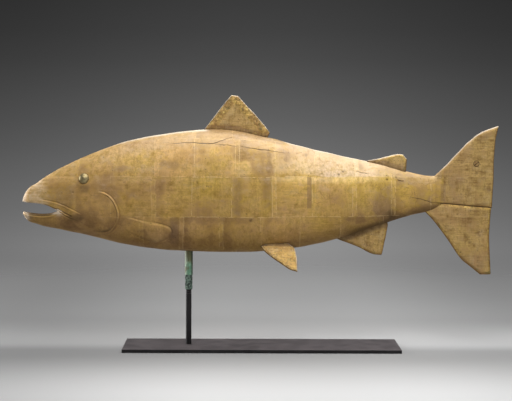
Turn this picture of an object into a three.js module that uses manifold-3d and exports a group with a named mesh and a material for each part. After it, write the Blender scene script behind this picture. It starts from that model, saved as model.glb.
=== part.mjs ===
// Fish weathervane: a carved and gilded wooden salmon that turns on a steel rod standing on a flat plate.
// Millimetres, +Z up. The nose points to -X and the fish's left side faces -Y.
// The origin is on the floor under the middle of the whole object.

import * as THREE from "three";
import { mergeVertices } from "three/addons/utils/BufferGeometryUtils.js";
import Module from "manifold-3d";

const wasm = await Module();
wasm.setup();

// Driving dimensions
const GAP = 0.3; // between pieces that touch
const NOSE_X = -472;
const TAIL_X = 472;
const PLATE = { length: 546, depth: 152, thick: 7, centreX: 4, edge: 1 };
const ROD = { x: -141, radius: 5.5, tipRadius: 3, spigotRadius: 4, spigotDepth: 5 };
const TUBE = { bore: 6.1, outer: 8, lowerOuter: 7.3, bottom: 117, stepZ: 146, top: 300, cap: 6 };
const TIP_PLAY = 0.5; // between the rod's tip and the closed end of the tube
const BODY_END_X = 366; // where the body's flanks have run out into the tail board
const BODY_RINGS = 54;
const RING_POINTS = 40;
const CROWDING = 0.7; // of the rings towards the nose and the tail, from 0, even, to 1
const SECTION = { power: 2.1, ridgePower: 1.8, ridgeFromX: -80, ridgeToX: 150 }; // 2 is an ellipse
const WAIST = 0.5; // height of the widest level, as a share of the section
const TAIL_THICK = 9;
const FIN_THICK = 8;
const PELVIC_THICK = 6;
const FIN_EDGE = 1.6; // bevel around a fin's rim
const EYE = { x: -345.5, z: 338, radius: 10.4, dome: 7, sunk: 3.5 };
const SCREW = { x: 428, z: 368.5, radius: 5.8, sink: 3.2, shank: 2.5, depth: 7 };
const SLOT = { wide: 1.4, deep: 1.1, turn: THREE.MathUtils.degToRad(36) };
const GILL = { x: -317, z: 273, radius: 41, arcSteps: 14, rise: 3.4, fadeFrom: -352, fadeTo: -285 };
const PELVIC = { rootY: 29, rootZ: 207, splay: THREE.MathUtils.degToRad(38) };
const ROUND_SIDES = 20;

// The body's lines as [x, z] or [x, half width] stations from the nose to the tail
const BACK = [
  [NOSE_X, 292], [-464, 308.5], [-440, 329], [-392, 359], [-333, 385.5], [-273, 407], [-202, 423.5],
  [-119, 434], [-60, 434], [7, 420.5], [86, 401], [170, 382], [237, 368.5], [297, 351.7], [330, 344.6],
  [BODY_END_X, 344],
];
const BELLY = [
  [NOSE_X, 271], [-464, 259.5], [-440, 247.5], [-392, 234.7], [-333, 222], [-273, 207.2], [-214, 198.3],
  [-154, 193.3], [-70, 191.3], [-5, 192.3], [84, 202], [143, 215.5], [199, 232.5], [252, 250], [298, 264.3],
  [339, 275], [BODY_END_X, 285],
];
const HALF = [
  [NOSE_X, 5], [-464, 13], [-440, 23.5], [-392, 36], [-333, 46.5], [-273, 53], [-200, 57.5], [-120, 59],
  [-40, 58], [40, 54], [120, 46.5], [190, 37], [232, 28], [262, 22], [300, 17.5], [340, 13], [358, 7],
  [BODY_END_X, 4.4],
];

// The outlines in the side view, as [x, z]
const MOUTH = {
  front: [-480, 290.6],
  upper: [[-440, 288], [-420, 284.6], [-406, 279], [-394, 271.8]],
  lower: [[-407, 267.6], [-420, 265.3], [-436, 264.8], [-453, 266.7], [-464, 269], [-480, 273]],
};
const STRAP = {
  start: [-418, 284.5],
  top: [[-416, 291], [-401, 288.5], [-385, 283], [-368, 274], [-352, 266.5]],
  end: [[-353, 259], [-361, 256], [-371, 256.5]],
  bottom: [[-381, 263.5], [-391, 271], [-407, 280], [-418, 284.5]],
  rise: 2.4, fadeFrom: -420, fadeTo: -396,
};
const PECTORAL = {
  start: [-262, 263.5],
  top: [[-232, 257], [-205, 251], [-184, 246.5]],
  end: [[-176, 241], [-177, 231], [-187, 220], [-202, 210]],
  bottom: [[-218, 215], [-238, 225], [-258, 243], [-262, 263.5]],
  rise: 4, fadeFrom: -264, fadeTo: -200,
};
const DORSAL = {
  front: [-111, 434],
  peak: [[-59, 502.3], [-43, 502.3]],
  rear: [[19, 427.4], [15, 420]],
  sunk: [[12, 411], [-106, 424]],
};
const ADIPOSE = {
  front: [211, 374.5],
  top: [[237, 378.8], [261, 385], [273, 387.2], [280, 385.6]],
  rear: [[289, 376], [288, 355]],
  sunk: [[286, 345], [214, 365]],
};
const ANAL = {
  front: [153, 218],
  lower: [[191, 203.6], [215, 192], [228, 186.8], [242, 185.8]],
  rear: [[244, 193], [249, 217], [254, 246]],
  sunk: [[252, 260], [162, 232]],
};
const TAIL_UPPER = {
  start: [345, 343.5],
  lead: [[368, 365.5], [392, 391.5], [415, 414.6], [439, 431.8], [TAIL_X, 443.5]],
  trail: [[466, 413], [461.5, 365], [459.4, 282.2]],
  root: [[341, 292.9], [318, 298.4], [318, 330]],
};
const TAIL_LOWER = {
  start: [320, 296.4],
  joint: [[341, 291.1], [459, 281.3]],
  trail: [[456.8, 250], [456, 214], [459.6, 149]],
  foot: [[455, 148], [438.4, 148]],
  lead: [[419, 166], [399, 184], [373, 221.6], [348, 253.7], [327, 273]],
  root: [[322, 276]],
};
// The pelvic fin's outline in its own plane, as [x, distance down from the root line]:
// its front corner, leading edge, tip, trailing edge and rear corner
const PELVIC_BLADE = [
  [[12, -8]],
  [[8, 2], [20, 17], [40, 39], [59, 57]],
  [[73, 64]],
  [[72.5, 46], [72, 28], [66, 8]],
  [[62, -8]],
];

// A smooth curve through stations of [x, value]
function fair(stations) {
  const xs = stations.map(([x]) => x);
  const values = stations.map(([, value]) => value);
  const rises = xs.slice(1).map((x, i) => (values[i + 1] - values[i]) / (x - xs[i]));
  const slopes = xs.map((_, i) => {
    if (i === 0) return rises[0];
    if (i === xs.length - 1) return rises[i - 1];
    const before = xs[i] - xs[i - 1];
    const after = xs[i + 1] - xs[i];
    return (rises[i - 1] * after + rises[i] * before) / (before + after);
  });
  return (x) => {
    let i = 0;
    while (i < xs.length - 2 && x > xs[i + 1]) i++;
    const span = xs[i + 1] - xs[i];
    const t = THREE.MathUtils.clamp((x - xs[i]) / span, 0, 1);
    const s = 1 - t;
    return (
      values[i] * s * s * (1 + 2 * t) +
      values[i + 1] * t * t * (1 + 2 * s) +
      span * t * s * (slopes[i] * s - slopes[i + 1] * t)
    );
  };
}

const back = fair(BACK);
const belly = fair(BELLY);
const half = fair(HALF);

// Geometry to solid and back
function solidOf(geometry) {
  const bare = geometry.clone();
  for (const name of Object.keys(bare.attributes)) if (name !== "position") bare.deleteAttribute(name);
  const merged = mergeVertices(bare, 1e-3);
  const mesh = new wasm.Mesh({
    numProp: 3,
    vertProperties: merged.attributes.position.array,
    triVerts: new Uint32Array(merged.index.array),
  });
  return new wasm.Manifold(mesh);
}

function geometryOf(solid) {
  const mesh = solid.getMesh();
  const flat = new THREE.BufferGeometry()
    .setAttribute("position", new THREE.BufferAttribute(mesh.vertProperties, 3))
    .setIndex(new THREE.BufferAttribute(mesh.triVerts, 1))
    .toNonIndexed();
  flat.computeVertexNormals();
  return flat;
}

function placedSolid(mesh) {
  mesh.updateMatrix();
  return solidOf(mesh.geometry.clone().applyMatrix4(mesh.matrix));
}

// A closed outline: a run of one point is a straight side, and a longer run is one smooth curve
function shapeOf(start, ...runs) {
  const shape = new THREE.Shape().moveTo(...start);
  for (const run of runs) {
    if (run.length > 1) shape.splineThru(run.map((point) => new THREE.Vector2(...point)));
    else shape.lineTo(...run[0]);
  }
  return shape;
}

const straight = (points) => points.map((point) => [point]);

// A flat board in the XZ plane, centred on y = 0, with a bevelled rim; grow makes the seat that it lies in
function board(shape, thick, edge, grow = 0, curveSegments = 2) {
  return new THREE.ExtrudeGeometry(shape, {
    depth: thick + 2 * grow - 2 * edge,
    bevelThickness: edge,
    bevelSize: edge,
    bevelOffset: grow - edge,
    bevelSegments: 1,
    curveSegments,
  })
    .translate(0, 0, edge - grow - thick / 2)
    .rotateX(Math.PI / 2);
}

// A straight-sided prism across the whole fish, for cuts and for the outlines of the low relief
function across(shape, curveSegments = 3) {
  const reach = 200;
  return solidOf(
    new THREE.ExtrudeGeometry(shape, { depth: reach, bevelEnabled: false, curveSegments })
      .translate(0, 0, -reach / 2)
      .rotateX(Math.PI / 2),
  );
}

// A turned piece about +Z from [radius, height] points that start and end on the axis
function turned(profile) {
  const points = profile.map((point) => new THREE.Vector2(...point));
  return new THREE.LatheGeometry(points, ROUND_SIDES).rotateX(Math.PI / 2);
}

// Fish body

// The rings crowd towards the nose and the tail, where the lines bend most
function stationX(i) {
  const t = i / BODY_RINGS;
  const crowded = (1 - Math.cos(Math.PI * t)) / 2;
  return THREE.MathUtils.lerp(NOSE_X, BODY_END_X, THREE.MathUtils.lerp(t, crowded, CROWDING));
}

// The section at x: its widest level, and the reach and the curve's power above and below that
function sectionAt(x) {
  const waist = THREE.MathUtils.lerp(belly(x), back(x), WAIST);
  const { power, ridgePower, ridgeFromX, ridgeToX } = SECTION;
  const ridge = THREE.MathUtils.smoothstep(x, ridgeFromX, ridgeToX);
  return {
    waist,
    above: { reach: back(x) - waist, power: THREE.MathUtils.lerp(power, ridgePower, ridge) },
    below: { reach: waist - belly(x), power },
  };
}

// A point of the skin at an angle around the section; lift(x) moves it outwards
function skinPoint(x, angle, lift) {
  const { waist, above, below } = sectionAt(x);
  const up = Math.sin(angle);
  const out = Math.cos(angle);
  const { reach, power } = up > 0 ? above : below;
  const soften = (value) => Math.sign(value) * Math.abs(value) ** (2 / power);
  const y = soften(out) * half(x);
  return [x, Math.abs(y) < 1e-6 ? 0 : y + Math.sign(y) * lift(x), waist + soften(up) * reach];
}

function loft(lift = () => 0) {
  const positions = [];
  const index = [];
  for (let i = 0; i <= BODY_RINGS; i++)
    for (let j = 0; j < RING_POINTS; j++) {
      const angle = (2 * Math.PI * j) / RING_POINTS;
      positions.push(...skinPoint(stationX(i), angle, lift));
    }
  const at = (i, j) => i * RING_POINTS + (j % RING_POINTS);
  for (let i = 0; i < BODY_RINGS; i++)
    for (let j = 0; j < RING_POINTS; j++) {
      index.push(at(i, j), at(i, j + 1), at(i + 1, j + 1));
      index.push(at(i, j), at(i + 1, j + 1), at(i + 1, j));
    }
  for (let j = 1; j < RING_POINTS - 1; j++) {
    index.push(at(0, 0), at(0, j + 1), at(0, j));
    index.push(at(BODY_RINGS, 0), at(BODY_RINGS, j), at(BODY_RINGS, j + 1));
  }
  return solidOf(
    new THREE.BufferGeometry()
      .setAttribute("position", new THREE.Float32BufferAttribute(positions, 3))
      .setIndex(index),
  );
}

// Low relief: the skin lifted inside an outline, fading in from the front so that its rear edge is proud
function relief(outline, { rise, fadeFrom, fadeTo, arcSteps }) {
  const sink = 0.6; // below the skin at the front, so that the two surfaces part cleanly
  const lift = (x) => THREE.MathUtils.lerp(-sink, rise, THREE.MathUtils.smoothstep(x, fadeFrom, fadeTo));
  return loft(lift).intersect(across(outline, arcSteps));
}

function gillOutline() {
  const shape = new THREE.Shape();
  shape.moveTo(GILL.fadeFrom, GILL.z - GILL.radius);
  shape.lineTo(GILL.x, GILL.z - GILL.radius);
  shape.absarc(GILL.x, GILL.z, GILL.radius, -Math.PI / 2, Math.PI / 2, false);
  shape.lineTo(GILL.fadeFrom, GILL.z + GILL.radius);
  return shape;
}

const reliefOutline = ({ start, top, end, bottom }) => shapeOf(start, top, end, bottom);
const mouthOutline = () => shapeOf(MOUTH.front, MOUTH.upper, MOUTH.lower);

// How far the skin stands out from the middle plane at x and z
function skinY(x, z) {
  const { waist, above, below } = sectionAt(x);
  const { reach, power } = z > waist ? above : below;
  return half(x) * (1 - (Math.abs(z - waist) / reach) ** power) ** (1 / power);
}

// The skin's outward direction on one side, from small steps along it
function skinNormal(x, z, side) {
  const step = 2;
  const slopeX = (skinY(x + step, z) - skinY(x - step, z)) / (2 * step);
  const slopeZ = (skinY(x, z + step) - skinY(x, z - step)) / (2 * step);
  return new THREE.Vector3(-slopeX, side, -slopeZ).normalize();
}

// Pieces

const gilding = new THREE.MeshStandardMaterial({ color: 0xb08a4a, roughness: 0.45, metalness: 0.8 });
const eyeBrass = new THREE.MeshStandardMaterial({ color: 0xa89a68, roughness: 0.35, metalness: 0.9 });
const verdigris = new THREE.MeshStandardMaterial({ color: 0x5f8f72, roughness: 0.8, metalness: 0.2 });
const blackSteel = new THREE.MeshStandardMaterial({ color: 0x2b2829, roughness: 0.5, metalness: 0.4 });

function named(name, geometry, material) {
  const mesh = new THREE.Mesh(geometry, material);
  mesh.name = name;
  return mesh;
}

function dorsalFin(grow) {
  const shape = shapeOf(DORSAL.front, ...straight([...DORSAL.peak, ...DORSAL.rear, ...DORSAL.sunk]));
  return named("dorsal_fin", board(shape, FIN_THICK, FIN_EDGE, grow), gilding);
}

function adiposeFin(grow) {
  const shape = shapeOf(ADIPOSE.front, ADIPOSE.top, ...straight([...ADIPOSE.rear, ...ADIPOSE.sunk]));
  return named("adipose_fin", board(shape, FIN_THICK, FIN_EDGE, grow), gilding);
}

function analFin(grow) {
  const shape = shapeOf(ANAL.front, ANAL.lower, ANAL.rear, ...straight(ANAL.sunk));
  return named("anal_fin", board(shape, FIN_THICK, FIN_EDGE, grow), gilding);
}

function pelvicFin(name, side, grow) {
  const down = ([x, depth]) => [x, -depth];
  const [start, lead, tip, trail, root] = PELVIC_BLADE.map((run) => run.map(down));
  const shape = shapeOf(...start, lead, tip, trail, root);
  const fin = named(name, board(shape, PELVIC_THICK, FIN_EDGE, grow), gilding);
  fin.position.set(0, side * PELVIC.rootY, PELVIC.rootZ);
  fin.rotation.x = side * PELVIC.splay;
  return fin;
}

function lowerLobe(grow) {
  const { start, joint, trail, foot, lead, root } = TAIL_LOWER;
  const shape = shapeOf(start, ...straight(joint), trail, ...straight(foot), lead, ...straight(root));
  return named("tail_lower_lobe", board(shape, TAIL_THICK, FIN_EDGE, grow), gilding);
}

function upperLobe() {
  const { start, lead, trail, root } = TAIL_UPPER;
  return board(shapeOf(start, lead, trail, ...straight(root)), TAIL_THICK, FIN_EDGE);
}

// A domed boss let into the head, its axis square to the skin
function eye(name, side, grow = 0) {
  const { radius, dome, sunk } = EYE;
  const curve = (radius ** 2 + dome ** 2) / (2 * dome);
  const arcSteps = 5;
  const widest = Math.asin(radius / curve);
  const arc = Array.from({ length: arcSteps + 1 }, (_, i) => {
    const angle = widest * (1 - i / arcSteps);
    return [curve * Math.sin(angle), curve * Math.cos(angle) - curve + dome];
  });
  const profile = grow
    ? [[0, -sunk - grow], [radius + grow, -sunk - grow], [radius + grow, dome], [0, dome]]
    : [[0, -sunk], [radius, -sunk], ...arc.slice(0, -1), [0, dome]];
  const mesh = named(name, turned(profile), eyeBrass);
  mesh.position.set(EYE.x, side * skinY(EYE.x, EYE.z), EYE.z);
  mesh.quaternion.setFromUnitVectors(new THREE.Vector3(0, 0, 1), skinNormal(EYE.x, EYE.z, side));
  return mesh;
}

// A slotted countersunk screw through the tail's upper lobe, its head flush with the left face
function tailScrew(grow = 0) {
  const { radius, sink, shank, depth } = SCREW;
  const top = grow ? 1 : 0; // the seat runs out through the face
  const body = turned([
    [0, -depth - grow],
    [shank + grow, -depth - grow],
    [shank + grow, -sink - grow],
    [radius + grow, -grow],
    [radius + grow, top],
    [0, top],
  ]);
  const slot = new THREE.BoxGeometry(3 * radius, SLOT.wide, 2 * SLOT.deep).rotateZ(SLOT.turn);
  const cut = grow ? body : geometryOf(solidOf(body).subtract(solidOf(slot)));
  const mesh = named("tail_screw", cut, gilding);
  mesh.position.set(SCREW.x, -TAIL_THICK / 2, SCREW.z);
  mesh.rotation.x = Math.PI / 2;
  return mesh;
}

// The socket that the fish turns on: closed above, so that the vane's weight rests on the rod's tip
function pivotTube(grow = 0) {
  const { bore, outer, lowerOuter, bottom, stepZ, top, cap } = TUBE;
  const seat = [[0, bottom], [outer + grow, bottom], [outer + grow, top + grow], [0, top + grow]];
  const inside = [[0, top - cap], [bore, top - cap], [bore, bottom]];
  const outside = [[lowerOuter, bottom], [lowerOuter, stepZ], [outer, stepZ], [outer, top], [0, top]];
  const mesh = named("pivot_tube", turned(grow ? seat : [...inside, ...outside]), verdigris);
  mesh.position.x = ROD.x;
  return mesh;
}

function standRod() {
  const { radius, tipRadius, spigotRadius, spigotDepth } = ROD;
  const foot = PLATE.thick + GAP;
  const tip = TUBE.top - TUBE.cap - TIP_PLAY;
  const profile = [
    [0, PLATE.thick - spigotDepth],
    [spigotRadius, PLATE.thick - spigotDepth],
    [spigotRadius, foot],
    [radius, foot],
    [radius, tip - (radius - tipRadius)],
    [tipRadius, tip],
    [0, tip],
  ];
  const mesh = named("stand_rod", turned(profile), blackSteel);
  mesh.position.x = ROD.x;
  return mesh;
}

function basePlate() {
  const { length, depth, thick, centreX, edge } = PLATE;
  const [endX, endY] = [length / 2, depth / 2];
  const shape = shapeOf([-endX, -endY], [[endX, -endY]], [[endX, endY]], [[-endX, endY]]);
  const slab = new THREE.ExtrudeGeometry(shape, {
    depth: thick - 2 * edge,
    bevelThickness: edge,
    bevelSize: edge,
    bevelOffset: -edge,
    bevelSegments: 1,
  }).translate(centreX, 0, edge);
  const holeRadius = ROD.spigotRadius + GAP;
  const holeDepth = ROD.spigotDepth + GAP;
  const hole = new THREE.CylinderGeometry(holeRadius, holeRadius, 2 * holeDepth, ROUND_SIDES)
    .rotateX(Math.PI / 2)
    .translate(ROD.x, 0, thick);
  return named("base_plate", geometryOf(solidOf(slab).subtract(solidOf(hole))), blackSteel);
}

// The body and the tail's upper lobe are one block of wood, with seats for every piece that is let into it
function fishBody(seats) {
  let body = loft()
    .add(solidOf(upperLobe()))
    .add(relief(gillOutline(), GILL))
    .add(relief(reliefOutline(STRAP), STRAP))
    .add(relief(reliefOutline(PECTORAL), PECTORAL))
    .subtract(across(mouthOutline()));
  for (const seat of seats) body = body.subtract(placedSolid(seat));
  return named("fish_body", geometryOf(body), gilding);
}

const LEFT = -1;
const RIGHT = 1;
const letIn = (grow) => [
  dorsalFin(grow),
  adiposeFin(grow),
  analFin(grow),
  pelvicFin("pelvic_fin_left", LEFT, grow),
  pelvicFin("pelvic_fin_right", RIGHT, grow),
  lowerLobe(grow),
  eye("eye_left", LEFT, grow),
  eye("eye_right", RIGHT, grow),
  tailScrew(grow),
  pivotTube(grow),
];

const vane = new THREE.Group();
vane.add(fishBody(letIn(GAP)), ...letIn(0));

const stand = new THREE.Group();
stand.add(basePlate(), standRod());

const weathervane = new THREE.Group();
weathervane.add(stand, vane);
export default weathervane;
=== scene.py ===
# Looks of the fish weathervane: a carved wooden salmon in worn gold leaf, which turns on a green copper
# tube over a black rod, on a black plate. Lengths are millimetres in the model's frame until a mesh is made.

import math
from functools import reduce
from types import SimpleNamespace

import bmesh
import bpy
import numpy as np
from mathutils import Matrix, Vector
from mathutils.geometry import delaunay_2d_cdt

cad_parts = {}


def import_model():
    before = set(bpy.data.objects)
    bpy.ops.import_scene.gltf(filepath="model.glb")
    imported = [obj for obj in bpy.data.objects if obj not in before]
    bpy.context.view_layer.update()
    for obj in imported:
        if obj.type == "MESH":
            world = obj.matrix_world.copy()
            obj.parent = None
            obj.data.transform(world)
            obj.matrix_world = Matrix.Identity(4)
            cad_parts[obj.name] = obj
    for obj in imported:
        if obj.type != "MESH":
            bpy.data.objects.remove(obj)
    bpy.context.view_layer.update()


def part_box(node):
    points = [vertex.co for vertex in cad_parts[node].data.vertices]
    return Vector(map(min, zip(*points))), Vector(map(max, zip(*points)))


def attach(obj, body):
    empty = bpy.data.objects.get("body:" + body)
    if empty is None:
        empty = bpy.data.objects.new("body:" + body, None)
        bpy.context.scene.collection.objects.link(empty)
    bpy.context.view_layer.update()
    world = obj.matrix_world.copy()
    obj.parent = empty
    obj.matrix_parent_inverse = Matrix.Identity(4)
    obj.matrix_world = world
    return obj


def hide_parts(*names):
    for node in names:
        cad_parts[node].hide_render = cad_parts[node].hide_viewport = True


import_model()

# Driving dimensions
MM = 0.001
LEFT, RIGHT = -1, 1
HANDS = ((LEFT, "left"), (RIGHT, "right"))
NOSE_X, BODY_END_X, TAIL_X = -472, 366, 472
NOSE_ROUND = 5  # depth of the rounded end of the snout
HEAD_END_X = -168  # the rings are closer in front of this
HEAD_RING_STEP, TRUNK_RING_STEP = 2.2, 3.1
AROUND = 148  # points round a ring
FINER_WITHIN = (7.5, 4.0)  # the skin is divided once within the first distance of a carved line, twice within
SECTION_POWER, RIDGE_POWER = 2.1, 1.8  # 2 is an ellipse
RIDGE_FROM_X, RIDGE_TO_X = -80, 150
TAIL_ROOT_X = 352  # the upper board of the tail comes out of the body behind this
TAIL_THICK, FIN_THICK, PELVIC_THICK = 9, 8, 6
BOARD_RIM = 4.5  # thickness of the tail's boards near their edge
WOBBLE, LOBE_WOBBLE = 0.25, 0.08  # unevenness of the boards' outlines
EDGE_ROWS = (0.25, 0.8, 1.6, 2.8)  # how far in from a board's edge it has rows of points
FACES_APART = 50.0  # half the distance that sets the unevenness of a board's two faces apart
CRACK_REACH = 3  # how far a crack's wedge reaches into and out of the skin
MOUTH_REACH = 60  # half the width of what cuts the mouth
SEAM = 0.5  # open joint round a piece that is let into the body
LOBE_SEAM = -0.3  # the lower lobe is joined tight, and a groove runs along its joint
LEAF = 78.6  # pitch of the gold leaves
LEAF_LAP = 7.4
LEAF_LEVEL = 303.4  # height of the middle of the middle row of leaves
LEAF_LINE_X = -134  # one upright edge in that row
LOWER_SHIFT, UPPER_SHIFT = 55.0, 6.0  # how far the rows below and above it are shifted
GILL_X, GILL_Z, GILL_RADIUS = -316.6, 265.5, 39.4
EYE_X, EYE_Z, EYE_RADIUS, EYE_DOME, EYE_SUNK = -345.5, 338, 10.4, 7, 3.5
SCREW_X, SCREW_Z, SCREW_RADIUS, SCREW_DEPTH = 428, 368.5, 5.6, 6
SLOT_WIDE, SLOT_DEEP, SLOT_TURN = 1.5, 1.2, math.radians(36)
PELVIC_Y, PELVIC_Z, PELVIC_SPLAY = 29, 207, math.radians(38)
PELVIC_TIP = (68, 72)  # painted highlight along the rear edge, from the first x to the second
ROD_X, ROD_RADIUS, SPIGOT_RADIUS = -141, 5.5, 4
RING_LEVELS = (109, 113.5)  # two rings turned in the rod
TUBE_BORE, TUBE_RADIUS, TUBE_LOWER_RADIUS = 6.1, 8, 7.3
TUBE_BOTTOM, TUBE_STEP_Z, TUBE_TOP, TUBE_CAP = 117, 146, 300, 6

# The body's lines as [x, z] or [x, half width] stations from the nose to the tail
BACK = [
    [NOSE_X, 292], [-464, 308.5], [-440, 329], [-392, 359], [-333, 385.5], [-273, 407], [-202, 423.5],
    [-119, 434], [-60, 434], [7, 420.5], [86, 401], [170, 382], [237, 368.5], [297, 351.7], [330, 344.6],
    [BODY_END_X, 344],
]
BELLY = [
    [NOSE_X, 269.5], [-464, 257], [-440, 245.6], [-392, 234.2], [-333, 222], [-273, 207.2], [-214, 198.3],
    [-154, 193.3], [-70, 191.3], [-5, 192.3], [84, 202], [143, 215.5], [199, 232.5], [252, 250],
    [298, 264.3], [339, 275], [BODY_END_X, 285],
]
HALF = [
    [NOSE_X, 5], [-464, 13], [-440, 23.5], [-392, 36], [-333, 46.5], [-273, 53], [-200, 57.5], [-120, 59],
    [-40, 58], [40, 54], [120, 46.5], [190, 37], [232, 28], [262, 22], [300, 17.5], [340, 13], [358, 7],
    [BODY_END_X, 4.4],
]

# Outlines in the side view as [x, z]: a run of one point is a straight side, a longer one a smooth curve
MOUTH = [
    [[-480, 290.6]],
    [[-440, 288], [-420, 284.6], [-407, 278.8], [-397, 272.4]],
    [[-408, 267.8], [-420, 265.3], [-436, 264.8], [-453, 266.7], [-464, 269], [-480, 273]],
]
STRAP_TOP = [
    [-440, 295], [-430, 294.2], [-413, 291.4], [-400, 288.4], [-386, 283.4], [-368, 274.8], [-346, 264],
]
STRAP_BOTTOM = [[-440, 288], [-420, 284.6], [-406, 279], [-394, 271.8], [-378, 262.5], [-346, 248]]
STRAP_FOLD = [[-398, 277], [-386, 270], [-372, 263]]
PECTORAL = [
    [[-270, 262]],
    [[-252, 260.8], [-234, 256], [-215.6, 252.5], [-197, 248.8], [-180, 243.4], [-174.5, 236.5], [-176, 228],
     [-187, 219], [-205, 211.5]],
    [[-228, 219.4], [-252, 231], [-268, 243], [-270, 262]],
]
DORSAL = [
    [[-111, 434]],
    [[-93, 457.6], [-77, 479], [-64, 495]],
    [[-58, 502.3]], [[-44.5, 501]],
    [[-37, 492.6], [-15.4, 469.6], [2.8, 449], [16, 433]],
    [[19, 427.4]], [[15, 420]], [[12, 411]], [[-106, 424]],
]
ADIPOSE = [
    [[211, 374.5]],
    [[237, 378.8], [261, 385], [274, 387.6], [283, 386]],
    [[290.5, 377]], [[289, 355]], [[286, 345]], [[214, 365]],
]
ANAL = [
    [[153, 218]],
    [[191, 203.6], [215, 192], [228, 186.8], [242, 185.8]],
    [[244, 193], [249, 217], [254, 246]],
    [[252, 260]], [[162, 232]],
]
TAIL_UPPER = [
    [[345, 343.5]],
    [[368, 365.5], [392, 391.5], [415, 414.6], [439, 431.8], [TAIL_X, 443.5]],
    [[466, 413], [463.6, 375], [463.2, 340], [461.3, 300], [460, 280.2]],
    [[341, 289.8]], [[318, 298.4]], [[318, 330]],
]
TAIL_LOWER = [
    [[320, 296.4]],
    [[341, 291.1]], [[459, 281.3]],
    [[456.8, 250], [456, 214], [459.6, 149]],
    [[455, 148]], [[438.4, 148]],
    [[417.5, 164.5], [397, 182.4], [371, 220], [346.5, 252.4], [327, 273]],
    [[322, 276]],
]
# The pelvic fin in its own plane, as [x, height over the root line]
PELVIC = [
    [[0.5, -3]],
    [[10, -16], [17, -23], [37.5, -40.5], [58, -56]],
    [[73, -62]],
    [[73, -46], [72, -28], [68.5, -7]],
    [[56, 5]], [[38, 8]], [[18, 6]],
]

# Cracks as lines of [x, z] with a width, and the left side's small holes as [x, z, radius, depth]
CRACKS = [
    ([[-197, 407.7], [-166, 407.4], [-134, 408.9], [-110, 407.4], [-93, 407.1], [-77, 412.1], [-64, 418],
      [-52, 420]], 1.3),
    ([[-40, 402], [-34, 401.1], [-7, 396.7], [19, 393.7], [50, 388.5]], 1.5),
    ([[-93, 407], [-75, 405], [-56, 403.4], [-40, 402]], 0.7),
    ([[188, 354.3], [201, 350.5], [215, 347.5]], 1.0),
    ([[292, 303.3], [305, 300.9], [319.3, 298], [329, 295.2], [341.3, 292.1]], 1.2),
    ([[270, 336.4], [277, 334.2], [285, 334.6]], 3.2),
]
LOBE_JOINT = [[336, 292.2], [341, 291.9], [400.5, 286.9], [462, 281.6]]
RIGHT_CRACKS = [
    ([[-228, 398], [-190, 401], [-150, 399.5], [-112, 403.5]], 1.2),
    ([[70, 372], [104, 366.5], [131, 364]], 1.2),
]
HOLES = [
    [90, 384.5, 3.4, 0.4], [154, 346.7, 1.8, 1.0], [162, 352.6, 1.5, 0.9], [250, 337.3, 1.9, 1.0],
    [-19, 255.8, 2.6, 1.0], [-367, 310.2, 1.4, 0.9], [-383, 250.2, 1.4, 0.9], [268, 341.5, 2.2, 0.7],
    [-124, 331, 2.0, 0.6], [120, 348.5, 1.6, 0.7], [70.5, 200, 2.6, 1.2],
]
TAIL_HOLES = [[429, 350.3, 2.4, 0.7], [384, 298.5, 1.5, 0.9], [399, 370, 1.5, 0.8], [447, 420, 1.3, 0.5]]
LOBE_HOLES = [[417, 212, 2.2, 0.7], [440, 234, 1.8, 0.6], [398, 193, 1.6, 0.7], [391, 268, 1.5, 0.6]]
ADIPOSE_HOLES = [
    [216, 367.88, 1.5, 0.8], [222, 366.44, 1.5, 0.8], [228, 365, 1.5, 0.8], [234, 363.56, 1.5, 0.8],
    [253, 371, 2.0, 0.9],
]
# Soft-edged patches of the paint, alike on both sides, as [x from, x to, z from, z to, softness, strength]
STAINS = [
    # The patch at x 357 to 368 is painted shade where the body narrows into the tail
    [222, 262, 262, 358, 12, 0.9], [357, 368, 294, 330, 3, 0.9], [370, 404, 290, 342, 6, 0.5],
    [-55, -36, 268, 338, 6, 0.7], [4, 22, 280, 342, 6, 0.7], [48, 62, 280, 330, 7, 0.45],
    [-290, -250, 352, 366, 8, 0.6], [-198, -160, 360, 374, 9, 0.75], [-104, -72, 362, 384, 10, 0.65],
    [-30, 2, 376, 392, 9, 0.3], [12, 22, 350, 398, 4, 0.7], [-176, -160, 205, 262, 6, 0.7],
    [258, 360, 326, 356, 9, 0.7], [24, 58, 372, 396, 7, 0.35], [-352, -336, 312, 326, 4, 0.4],
    [302, 352, 262, 346, 18, 0.5], [-70, 24, 376, 400, 8, 0.3], [-8, 10, 344, 380, 6, 0.3],
    [-425, -362, 280, 326, 12, 0.6], [-374, -332, 346, 374, 11, 0.4], [-312, -288, 312, 352, 9, 0.35],
    [425, 470, 412, 450, 9, 0.7],
]
CLEAN_GOLD = [
    [-56, -22, 346, 372, 6, 1.2], [-322, -286, 256, 298, 10, 0.5], [140, 262, 332, 352, 9, 0.5],
    [-226, -190, 216, 248, 8, 0.6], [-140, -106, 220, 246, 8, 0.5], [26, 58, 255, 330, 8, 0.2],
    [20, 58, 212, 268, 9, 0.3], [-275, -215, 378, 402, 9, 0.4],
]
UNDER_EYE = [-353, -336, 311, 323, 3]


# Curves and fields

def fair(stations):
    """A smooth curve through stations of [x, value], for an array of x."""
    xs, values = np.array(stations, float).T
    spans = np.diff(xs)
    rises = np.diff(values) / spans
    inner = (rises[:-1] * spans[1:] + rises[1:] * spans[:-1]) / (spans[:-1] + spans[1:])
    slopes = np.concatenate([rises[:1], inner, rises[-1:]])

    def at(x):
        i = np.clip(np.searchsorted(xs, x, side="right") - 1, 0, len(spans) - 1)
        t = np.clip((x - xs[i]) / spans[i], 0, 1)
        s = 1 - t
        ends = values[i] * s * s * (1 + 2 * t) + values[i + 1] * t * t * (1 + 2 * s)
        return ends + spans[i] * t * s * (slopes[i] * s - slopes[i + 1] * t)

    return at


back, belly, half = fair(BACK), fair(BELLY), fair(HALF)


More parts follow.
